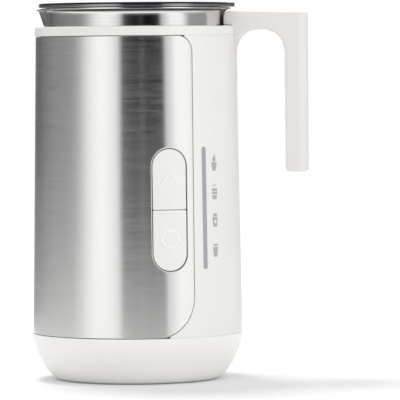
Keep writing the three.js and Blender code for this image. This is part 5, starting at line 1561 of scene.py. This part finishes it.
@dataclass
class Jug:
    """The steel jug with its flared rim and its beak, and the post for the whisk."""

    bottom: float = from_box("jug", LOW, "z")
    top: float = from_box("jug", HIGH, "z")
    rim_radius: float = from_box("jug", HIGH, "x")
    lip_radius: float = from_box("jug", LOW, "x", -1.0)
    neck_radius: float = 50.3
    neck_steps: int = 9
    foot_radius: float = 49.3
    foot_round: float = 6.0
    wall: float = 1.0
    flare_height: float = 6.0
    flare_steps: int = 14
    spout_half_angle: float = 8.5
    spout_steps: int = 14
    spout_reach: float = 5.0
    spout_droop: float = 0.8
    spout_depth: float = 16.5
    spout_curve: float = 1.15
    spout_span: float = 1.5
    keel_round: float = 1.1
    keel_fullness: float = 0.8
    # The columns beside the spout are this many degrees apart; then come those of the back.
    side_turn: float = 1.4
    side_columns: int = 17
    back_columns: int = 56
    post_radius: float = 2.0

    def build(self) -> None:
        """Makes the jug and its post."""
        self.make_jug()
        self.make_post()

    def keel(self, z: float) -> float:
        """Gives how far the beak's keel stands beyond the neck at a height."""
        share = (z - self.top + self.spout_depth) / (self.spout_depth - self.wall / 2)
        return self.spout_reach * unit(share) ** self.spout_curve

    def beak(self, angle: float, z: float) -> float:
        """Gives the radius of the beak's flat side.

        Args:
            angle: Angle from the keel.
            z: Height.

        Returns:
            The radius.
        """
        fold = math.radians(self.spout_half_angle)
        soft = math.radians(self.keel_round)
        away = math.sqrt(angle * angle + soft * soft) - soft * self.keel_fullness
        tip = self.neck_radius + self.keel(z)
        slope = (tip - self.neck_radius * math.cos(fold)) / (self.neck_radius * math.sin(fold))
        return tip / (math.cos(away) + math.sin(away) * slope)

    def drawn(self, angle: float, point: Edge) -> Pair:
        """Draws a point of the turned jug out into the spout.

        Args:
            angle: Angle from the keel.
            point: The point before the drawing.

        Returns:
            The radius and the height after it.
        """
        radius, z, out, up = point
        within = out < -0.1 or (up > 0.5 and radius < self.rim_radius - 0.5)
        span = self.spout_span * math.radians(self.spout_half_angle)
        size = abs(angle)
        rise = unit((radius - self.neck_radius) / (self.rim_radius - self.neck_radius))
        bell = 0.5 + 0.5 * math.cos(min(size / (2 * span), 1.0) * math.pi)
        pulled = radius + (self.lip_radius - self.rim_radius) * bell * rise ** 2
        if size < math.radians(self.spout_half_angle) and self.keel(z) > 0:
            pulled = max(pulled, self.beak(angle, z) - (self.wall if within else 0.0))
        return pulled, z - self.spout_droop * bell * rise ** 2

    def turns(self) -> list[float]:
        """Sets out the columns, close together at the spout.

        Returns:
            Their angles from the keel.
        """
        half = [self.spout_half_angle * step / self.spout_steps
                for step in range(self.spout_steps + 1)]
        half += [self.spout_half_angle + self.side_turn * step
                 for step in range(1, self.side_columns + 1)]
        start = half[-1]
        half += [start + (180.0 - start) * step / self.back_columns
                 for step in range(1, self.back_columns + 1)]
        both = half[:-1] + [-angle for angle in reversed(half[1:])]
        return [math.radians(angle) for angle in both]

    def flare(self, neck_top: float, under: float) -> tuple[list[Corner], list[Corner]]:
        """Gives the flare between the neck and the rim.

        Args:
            neck_top: Height of its lower end.
            under: Height of its outer face at the rim.

        Returns:
            The points of its outer face and of its inner face, from below upwards.
        """
        ends = ((self.neck_radius, neck_top), (self.neck_radius, under - 1.2),
                (self.neck_radius + 1.0, under - 0.1), (self.rim_radius, under))
        outer, inner = [], []
        for step in range(1, self.flare_steps):
            t = step / self.flare_steps
            x, z = bezier(ends, t)
            slopes = ((1 - t) ** 2, 2 * t * (1 - t), t * t)
            along = Vector([sum(w * (b[axis] - a[axis]) for w, a, b in zip(slopes, ends, ends[1:]))
                            for axis in (0, 1)]).normalized()
            outer.append((x, z, 0.0))
            inner.append((x - along.y * self.wall, z + along.x * self.wall, 0.0))
        return outer, inner

    def make_jug(self) -> None:
        """Makes the jug from one sheet."""
        under, floor = self.top - self.wall, self.bottom + self.wall
        neck_top = under - self.flare_height
        neck = [neck_top - (self.spout_depth - self.top + neck_top) * step / self.neck_steps
                for step in range(self.neck_steps + 1)]
        outer, inner = self.flare(neck_top, under)
        outline = rounded([
            (0.0, self.bottom, 0.0), (self.foot_radius, self.bottom, self.foot_round),
            *[(self.neck_radius, z, 0.0) for z in reversed(neck)], *outer,
            (self.rim_radius, under, 0.3), (self.rim_radius, self.top, 0.45), *reversed(inner),
            *[(self.neck_radius - self.wall, z, 0.0) for z in neck],
            (self.foot_radius - self.wall, floor, self.foot_round - self.wall), (0.0, floor, 0.0),
        ], 8, closed=False)
        made = Skin().turn(outline, self.turns(), closed=False, bend=self.drawn,
                           side=-1.0).build("steel_jug", JUG_STEEL, crease=55.0)
        settle(made, "jug", "polished_steel", "jug")

    def make_post(self) -> None:
        """Makes the post on the jug's floor."""
        low, high = box_mm("whisk_spindle")
        foot, shaft = high.x, self.post_radius
        made = lathe("whisk_post", PLAIN_STEEL, [
            (0.0, low.z, 0.0), (foot, low.z, 0.2), (foot, low.z + 0.7, 0.3),
            (shaft, low.z + 1.5, 0.5), (shaft, high.z, 1.4), (0.0, high.z, 0.0),
        ], columns=48, steps=6)
        settle(made, "jug", "plain_steel", "whisk_spindle")


# ---- Handle ----


@dataclass
class Handle:
    """The arm, arch, grip and tongue of the handle in one moulding."""

    shell: Shell
    outer: float = from_box("handle", HIGH, "x")
    bottom: float = from_box("handle", LOW, "z")
    top: float = from_box("handle", HIGH, "z")
    half_width: float = from_box("handle", HIGH, "y")
    thickness: float = 12.8
    arm_height: float = 8.0
    arm_fall: float = 1.0
    root: float = 51.4
    root_round: float = 3.6
    arch_drop: float = 1.9
    arch_rise: float = 14.0
    arch_fullness: float = 0.62
    tongue_depth: float = 1.2
    tongue_proud: float = 0.2
    edge_round: float = 0.9
    thin_edge: float = 0.35
    edge_growth: float = 12.0
    edge_steps: int = 5
    grip_round: float = 6.0
    grip_least: float = 0.12
    bulge: float = 0.5
    columns: int = 26
    crowding: float = 1.35
    bow_steps: int = 14
    cap_pitch: Pair = (3.0, 6.0)

    @property
    def crown(self) -> float:
        """Height of the arch's underside."""
        return self.shell.ring_top - self.arch_drop

    def bow(self, start: Pair, end: Pair, upwards: bool) -> list[Corner]:
        """Gives a quarter of the arch.

        Args:
            start: Where it starts.
            end: Where it ends.
            upwards: Whether it starts upright and ends level, or the other way round.

        Returns:
            Points between the ends, without radii.
        """
        full = self.arch_fullness
        rise, run = full * (end[1] - start[1]), full * (end[0] - start[0])
        pulls = (((start[0], start[1] + rise), (end[0] - run, end[1])) if upwards else
                 ((start[0] + run, start[1]), (end[0], end[1] - rise)))
        return [(*bezier((start, *pulls, end), step / self.bow_steps), 0.0)
                for step in range(self.bow_steps + 1)]

    def outline(self) -> Loop:
        """Draws the side view of the handle.

        Returns:
            Its outline as (distance from the axis, height).
        """
        shell, foot, crown = self.shell, self.shell.tongue_foot, self.crown
        spring = crown - self.arch_rise
        inner = self.outer - self.thickness
        middle = ((shell.radius(spring) + self.tongue_proud + inner) / 2, crown)
        arm_low = self.top - self.arm_height

        def front(z: float, rounding: float = 0.0) -> Corner:
            """Gives a corner of the tongue's outer face."""
            return shell.radius(z) + self.tongue_proud, z, rounding

        def back(z: float, rounding: float = 0.0) -> Corner:
            """Gives a corner of the tongue's inner face."""
            return shell.radius(z) - self.tongue_depth, z, rounding

        return spaced(rounded([
            back(foot, 0.45), front(foot, 0.45),
            *[front(z) for z in np.linspace(foot + 1.5, spring - 1.5, 8)],
            *self.bow(front(spring)[:2], middle, True),
            *self.bow(middle, (inner, spring), False)[1:],
            (inner, self.bottom + self.bulge, 1.6),
            ((inner + self.outer) / 2, self.bottom, 30.0),
            (self.outer, self.bottom + self.bulge, 1.6),
            (self.outer, self.top - self.arm_fall, 1.1),
            (self.root + 12.0, self.top - 0.15, 20.0),
            (self.root, self.top, self.root_round), (self.root, arm_low, 1.0),
            back(arm_low, 0.6), *[back(z) for z in np.linspace(arm_low - 2.0, foot + 1.5, 10)],
        ], 8), 2.5)

    def edge(self, x: float, z: float) -> float:
        """Gives the radius of the side edges.

        Args:
            x: Place along the side view.
            z: Height.

        Returns:
            The radius.
        """
        share = unit((z - (self.crown - self.edge_growth)) / self.edge_growth)
        if x > (self.outer + self.root) / 2:
            share = 1.0
        return self.thin_edge + (self.edge_round - self.thin_edge) * share

    def width_share(self, x: float, z: float) -> float:
        """Gives how much of the full width the handle has.

        Args:
            x: Place along the side view.
            z: Height.

        Returns:
            The share.
        """
        shell, up = self.shell, z - self.shell.tongue_foot
        if z > shell.ring_top or x > (self.outer + self.root) / 2:
            return 1.0
        missing = 1 - unit(up / shell.tongue_corner)
        half = shell.tongue_width(unit(up / shell.tongue_length))
        half -= shell.tongue_corner * (1 - math.sqrt(1 - missing ** 2))
        return half / shell.tongue_half

    def bent(self, x: float, y: float, z: float) -> Vector:
        """Bends the straight handle round the housing and rounds the grip's face.

        Args:
            x: Distance from the housing's axis.
            y: Distance from the handle's middle, at full width.
            z: Height.

        Returns:
            Where the place comes to lie.
        """
        y *= self.width_share(x, z)
        leg_end = self.shell.top_radius + self.tongue_proud
        crown_x = (leg_end + self.outer - self.thickness) / 2
        flat = unit((x - leg_end - 1.0) / (crown_x - leg_end - 1.0))
        curved = 1 - flat * flat * (3 - 2 * flat)
        x -= curved * (x - math.sqrt(x * x - y * y))
        start = self.outer - self.grip_round
        side = abs(y) - (self.half_width - self.grip_round)
        if x > start and side > 0:
            reach = math.sqrt(max(self.grip_round ** 2 - side ** 2, 0.0)) / self.grip_round
            x = start + (x - start) * max(reach, self.grip_least)
        return Vector((x, y, z))

    def rows(self) -> list[tuple[float, float, float, float]]:
        """Gives the rows of points across the handle.

        Returns:
            For each row its side, how far it lies back and down as shares of the edge's
            radius, and its share of the half width.
        """
        turns = [math.pi / 2 * step / self.edge_steps for step in range(self.edge_steps)]
        edges = [(1 - math.sin(turn), 1 - math.cos(turn)) for turn in turns]
        made = [(-1.0, back, down, 1.0) for back, down in edges]
        for column in range(self.columns + 1):
            share = -1 + 2 * column / self.columns
            made.append((math.copysign(1.0, share), 0.0, 1.0,
                         1 - (1 - abs(share)) ** self.crowding))
        return made + [(1.0, back, down, 1.0) for back, down in reversed(edges)]

    def build(self) -> None:
        """Makes the handle."""
        loop, skin = self.outline(), Skin()
        numbers: list[list[int]] = []
        flats: list[Loop] = []
        for side, back, down, share in self.rows():
            row, flat = [], []
            for x, z, nx, nz in loop:
                radius = self.edge(x, z)
                px, pz = x - nx * radius * back, z - nz * radius * back
                y = side * (self.half_width - radius * down) * share
                flat.append((px, pz, nx, nz))
                row.append(skin.add(self.bent(px, y, pz), Vector((0, side, 0))))
            numbers.append(row)
            flats.append(flat)
        skin.join(numbers, closed=False)
        for end, side in ((0, -1.0), (-1, 1.0)):
            skin.cap([flats[end]], [numbers[end]], self.face(side), 0.0, 1.0, self.cap_pitch)
        made = skin.build("handle_moulding", GRIP_WHITE, crease=42.0)
        settle(made, "jug", "white_plastic", "handle")

    def face(self, side: float) -> Surface:
        """Gives the face of one side of the handle."""
        return lambda x, z, depth: (self.bent(x, side * self.half_width, z),
                                    Vector((0, side, 0)))


# ---- Lid ----


@dataclass
class Lid:
    """The tinted lid with its thumb tab, skirt and seal."""

    low: float = from_box("jug", HIGH, "z", more=0.3)
    high: float = from_box("lid", HIGH, "z")
    radius: float = from_box("lid", HIGH, "y")
    reach: float = from_box("lid", HIGH, "x")
    tab_radius: float = 16.0
    tab_reach: float = 0.5  # radians; no part of the tab is further from its middle
    tab_blend: float = 0.06
    tab_onset: float = -1.5
    columns: int = 360
    edge_round: float = 0.5
    disc_depth: float = 1.0
    step_inset: float = 0.12
    skirt_radius: float = 47.3
    skirt_wall: float = 1.5
    skirt_bead: float = 0.7
    seal_width: float = 1.35
    seal_lip: float = 0.7

    def build(self) -> None:
        """Makes the lid's pieces."""
        self.make_disc()
        self.make_step()
        self.make_skirt()
        self.make_seal()

    def plan(self) -> Loop:
        """Draws the lid from above, its tab blended into its round edge.

        Returns:
            Its outline.
        """
        centre = self.reach - self.tab_radius
        corners = []
        for angle in even_turns(self.columns):
            away = abs(math.remainder(angle, 2 * math.pi))
            radius = self.radius
            under = self.tab_radius ** 2 - (centre * math.sin(away)) ** 2
            if away < self.tab_reach and under > 0:
                apart = centre * math.cos(away) + math.sqrt(under) - radius
                if apart > self.tab_onset:
                    radius += 0.5 * (apart + math.sqrt(apart * apart + self.tab_blend))
            corners.append((*polar(min(radius, self.reach), angle), 0.0))
        return rounded(corners)

    def make_disc(self) -> None:
        """Makes the lid's disc with its tab."""
        made = Skin().plate([self.plan()], level_surface(self.high), (0.0, self.disc_depth),
                            (self.edge_round, 0.2), (10.0, 10.0), 6).build("lid_disc", LID_TINT)
        settle(made, "lid", "dark_lid", "lid")

    def make_step(self) -> None:
        """Makes the step under the disc, paler than it: painted light for the bright band along the
        lid's edge.
        """
        made = Skin().plate([inset(self.plan(), self.step_inset)], level_surface(self.high),
                            (self.disc_depth, self.high - self.low), (0.1, 0.3), (10.0, 10.0),
                            5).build("lid_step", LID_EDGE_PAINTED_LIGHT)
        settle(made, "lid", "dark_lid")

    def make_skirt(self) -> None:
        """Makes the skirt under the lid, with a bead round its lower edge."""
        low, high = box_mm("lid")[LOW].z, self.low + 0.3
        outer, bead = self.skirt_radius, self.skirt_radius + self.skirt_bead
        inner = outer - self.skirt_wall
        made = lathe("lid_skirt", LID_TINT, [
            (inner, low, 0.3), (bead, low, 0.3), (bead, low + 1.0, 0.3), (outer, low + 1.0, 0.2),
            (outer, high, 0.1), (inner, high, 0.1),
        ], columns=160, steps=4, closed=True)
        settle(made, "lid", "dark_lid")

    def make_seal(self) -> None:
        """Makes the silicone seal with its soft lip."""
        low, high = box_mm("lid_seal")
        outer, inner = high.y, high.y - self.seal_width
        neck = outer - self.seal_lip
        made = lathe("seal_ring", SILICONE, [
            (inner, low.z, 0.3), (neck, low.z, 0.4), (outer, low.z + 1.4, 0.5),
            (neck, high.z, 0.4), (inner, high.z, 0.3),
        ], columns=160, closed=True)
        settle(made, "lid", "silicone", "lid_seal")


# ---- Whisk ----


@dataclass
class Whisk:
    """The whisk's hub, spokes, rim and wound wire, and the cap that sits on the post."""

    ring_radius: float = 20.0
    ring_thickness: float = 3.0
    spokes: int = 4
    coil_radius: float = 2.6
    turns: int = 16
    wire: float = 0.45
    spoke_width: float = 2.0
    wire_rings: int = 640
    wire_sides: int = 10
    hub_radius: float = 10.4
    hub_bore: float = 4.2
    hub_wall: float = 1.3
    magnet_room: float = 4.2
    cap_wall: float = 1.6

    def build(self) -> None:
        """Makes the whisk's pieces."""
        self.make_coil()
        self.make_hub()
        self.make_rim()
        for index in range(self.spokes):
            self.make_spoke(index)
        self.make_bush()

    @property
    def level(self) -> float:
        """Height of the whisk's ring."""
        low, high = box_mm("whisk_coil")
        return (low.z + high.z) / 2

    def along_wire(self, share: float) -> Vector:
        """Follows the wound wire.

        Args:
            share: Share of its length.

        Returns:
            The wire's middle there.
        """
        around = 2 * math.pi * share
        reach, rise = polar(self.coil_radius, around * self.turns)
        return Vector((*polar(self.ring_radius + reach, around), self.level + rise))

    def make_coil(self) -> None:
        """Makes the wound wire as one closed tube."""
        skin, small = Skin(), 1e-4
        rows = []
        for index in range(self.wire_rings):
            share = index / self.wire_rings
            here = self.along_wire(share)
            along = (self.along_wire(share + small) - self.along_wire(share - small)).normalized()
            core = Vector((*polar(self.ring_radius, 2 * math.pi * share), self.level))
            out = here - core
            out = (out - along * out.dot(along)).normalized()
            side = along.cross(out)
            facings = [out * math.cos(turn) + side * math.sin(turn)
                       for turn in even_turns(self.wire_sides)]
            rows.append([skin.add(here + facing * self.wire, facing) for facing in facings])
        made = skin.join(rows, closed=True).build("wire_coil", PLAIN_STEEL)
        settle(made, "whisk", "plain_steel", "whisk_coil")

    def make_hub(self) -> None:
        """Makes the hub with its ring-shaped room for the magnet."""
        low, high = box_mm("whisk_hub")
        inner, wall = self.hub_bore, self.hub_wall
        outer = inner + 2 * wall + self.magnet_room
        shoulder, ceiling = self.level + self.ring_thickness / 2, high.z - wall
        room = shoulder - wall
        corners = [
            (inner, low.z, 0.2), (inner + wall, low.z, 0.2), (inner + wall, room, 0.3),
            (outer - wall, room, 0.3), (outer - wall, low.z, 0.2), (outer, low.z, 0.3),
            (outer, shoulder, 0.8), (inner + 2 * wall, shoulder, 1.0),
            (inner + wall, high.z, 1.2), (0.0, high.z, 0.0), (0.0, ceiling, 0.0),
            (inner, ceiling, 0.4),
        ]
        made = Skin().turn(rounded(corners, 4, closed=False), turns=64).build(
            "hub_core", BLACK, crease=40.0)
        settle(made, "whisk", "black_plastic", "whisk_hub")

    def make_rim(self) -> None:
        """Makes the round rim that the wire is wound on."""
        outline = circle(self.ring_thickness / 2, self.ring_radius, self.level, 20)
        made = Skin().turn(outline, turns=120).build("hub_rim", BLACK)
        settle(made, "whisk", "black_plastic")

    def make_spoke(self, index: int) -> None:
        """Makes a flat spoke with rounded edges between the hub and its rim.

        Args:
            index: Its number, from 0.
        """
        angle = 2 * math.pi * index / self.spokes
        half, height = self.spoke_width / 2, self.ring_thickness / 4
        ends = ((self.hub_radius, -half), (self.ring_radius, -half), (self.ring_radius, half),
                (self.hub_radius, half))
        outline = rounded([(along * math.cos(angle) - across * math.sin(angle),
                            along * math.sin(angle) + across * math.cos(angle), 0.45)
                           for along, across in ends], 4)
        made = Skin().plate([outline], level_surface(self.level + height), (0.0, 2 * height),
                            (0.35, 0.35), (2.0, 2.0)).build(f"hub_spoke_{index + 1}", BLACK)
        settle(made, "whisk", "black_plastic")

    def make_bush(self) -> None:
        """Makes the cap that sits on the post."""
        low, high = box_mm("whisk_bush")
        outer, inner, ceiling = high.y, high.y - self.cap_wall, high.z - self.cap_wall
        made = lathe("post_cap", GREY, [
            (0.0, ceiling, 0.0), (inner, ceiling, 0.4), (inner, low.z, 0.2), (outer, low.z, 0.3),
            (outer, high.z, 0.9), (0.0, high.z, 0.0),
        ], columns=48)
        settle(made, "whisk_bush", "grey_plastic", "whisk_bush")


# ---- Works inside the housing ----


@dataclass
class Works:
    """The CAD nodes that stay and only take a finish."""

    finishes: tuple[tuple[Finish, tuple[str, ...]], ...] = (
        (WHITE, ("bottom_plate",)),
        (BLACK, ("button_frame", "motor_shaft", "program_switch", "start_switch",
                 "power_capacitor")),
        (GREY, ("chassis", "coil_former", "drive_rotor")),
        (COPPER, ("induction_coil", "power_choke")),
        (BOARD, ("main_board", "control_board", "light_board")),
        (PLAIN_STEEL, ("motor", "plate_screw_1", "plate_screw_2", "plate_screw_3",
                       "motor_screw_1", "motor_screw_2", "handle_screw_1", "handle_screw_2",
                       "handle_bracket", "drive_magnet_1", "drive_magnet_2", "whisk_magnet",
                       "temperature_sensor")),
    )

    def dress(self) -> None:
        """Gives every CAD node that is left a finish."""
        for finish, names in self.finishes:
            for name in names:
                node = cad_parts[name]
                if not node.material_slots:
                    node.data.materials.append(finish.material())
                for slot in node.material_slots:
                    slot.material = finish.material()
                LOG.info("%s: %s", name, finish.name)


def main() -> None:
    """Builds the studio and the frother's sub-assemblies in order."""
    logging.basicConfig(level=logging.INFO, format="%(message)s")
    Studio().build()
    shell = Shell()
    housing = Housing(shell)
    Base().build()
    housing.build()
    Controls(shell, housing).build()
    Jug().build()
    Handle(shell).build()
    Lid().build()
    Whisk().build()
    Works().dress()
    bpy.context.view_layer.update()


if __name__ == "__main__":
    main()
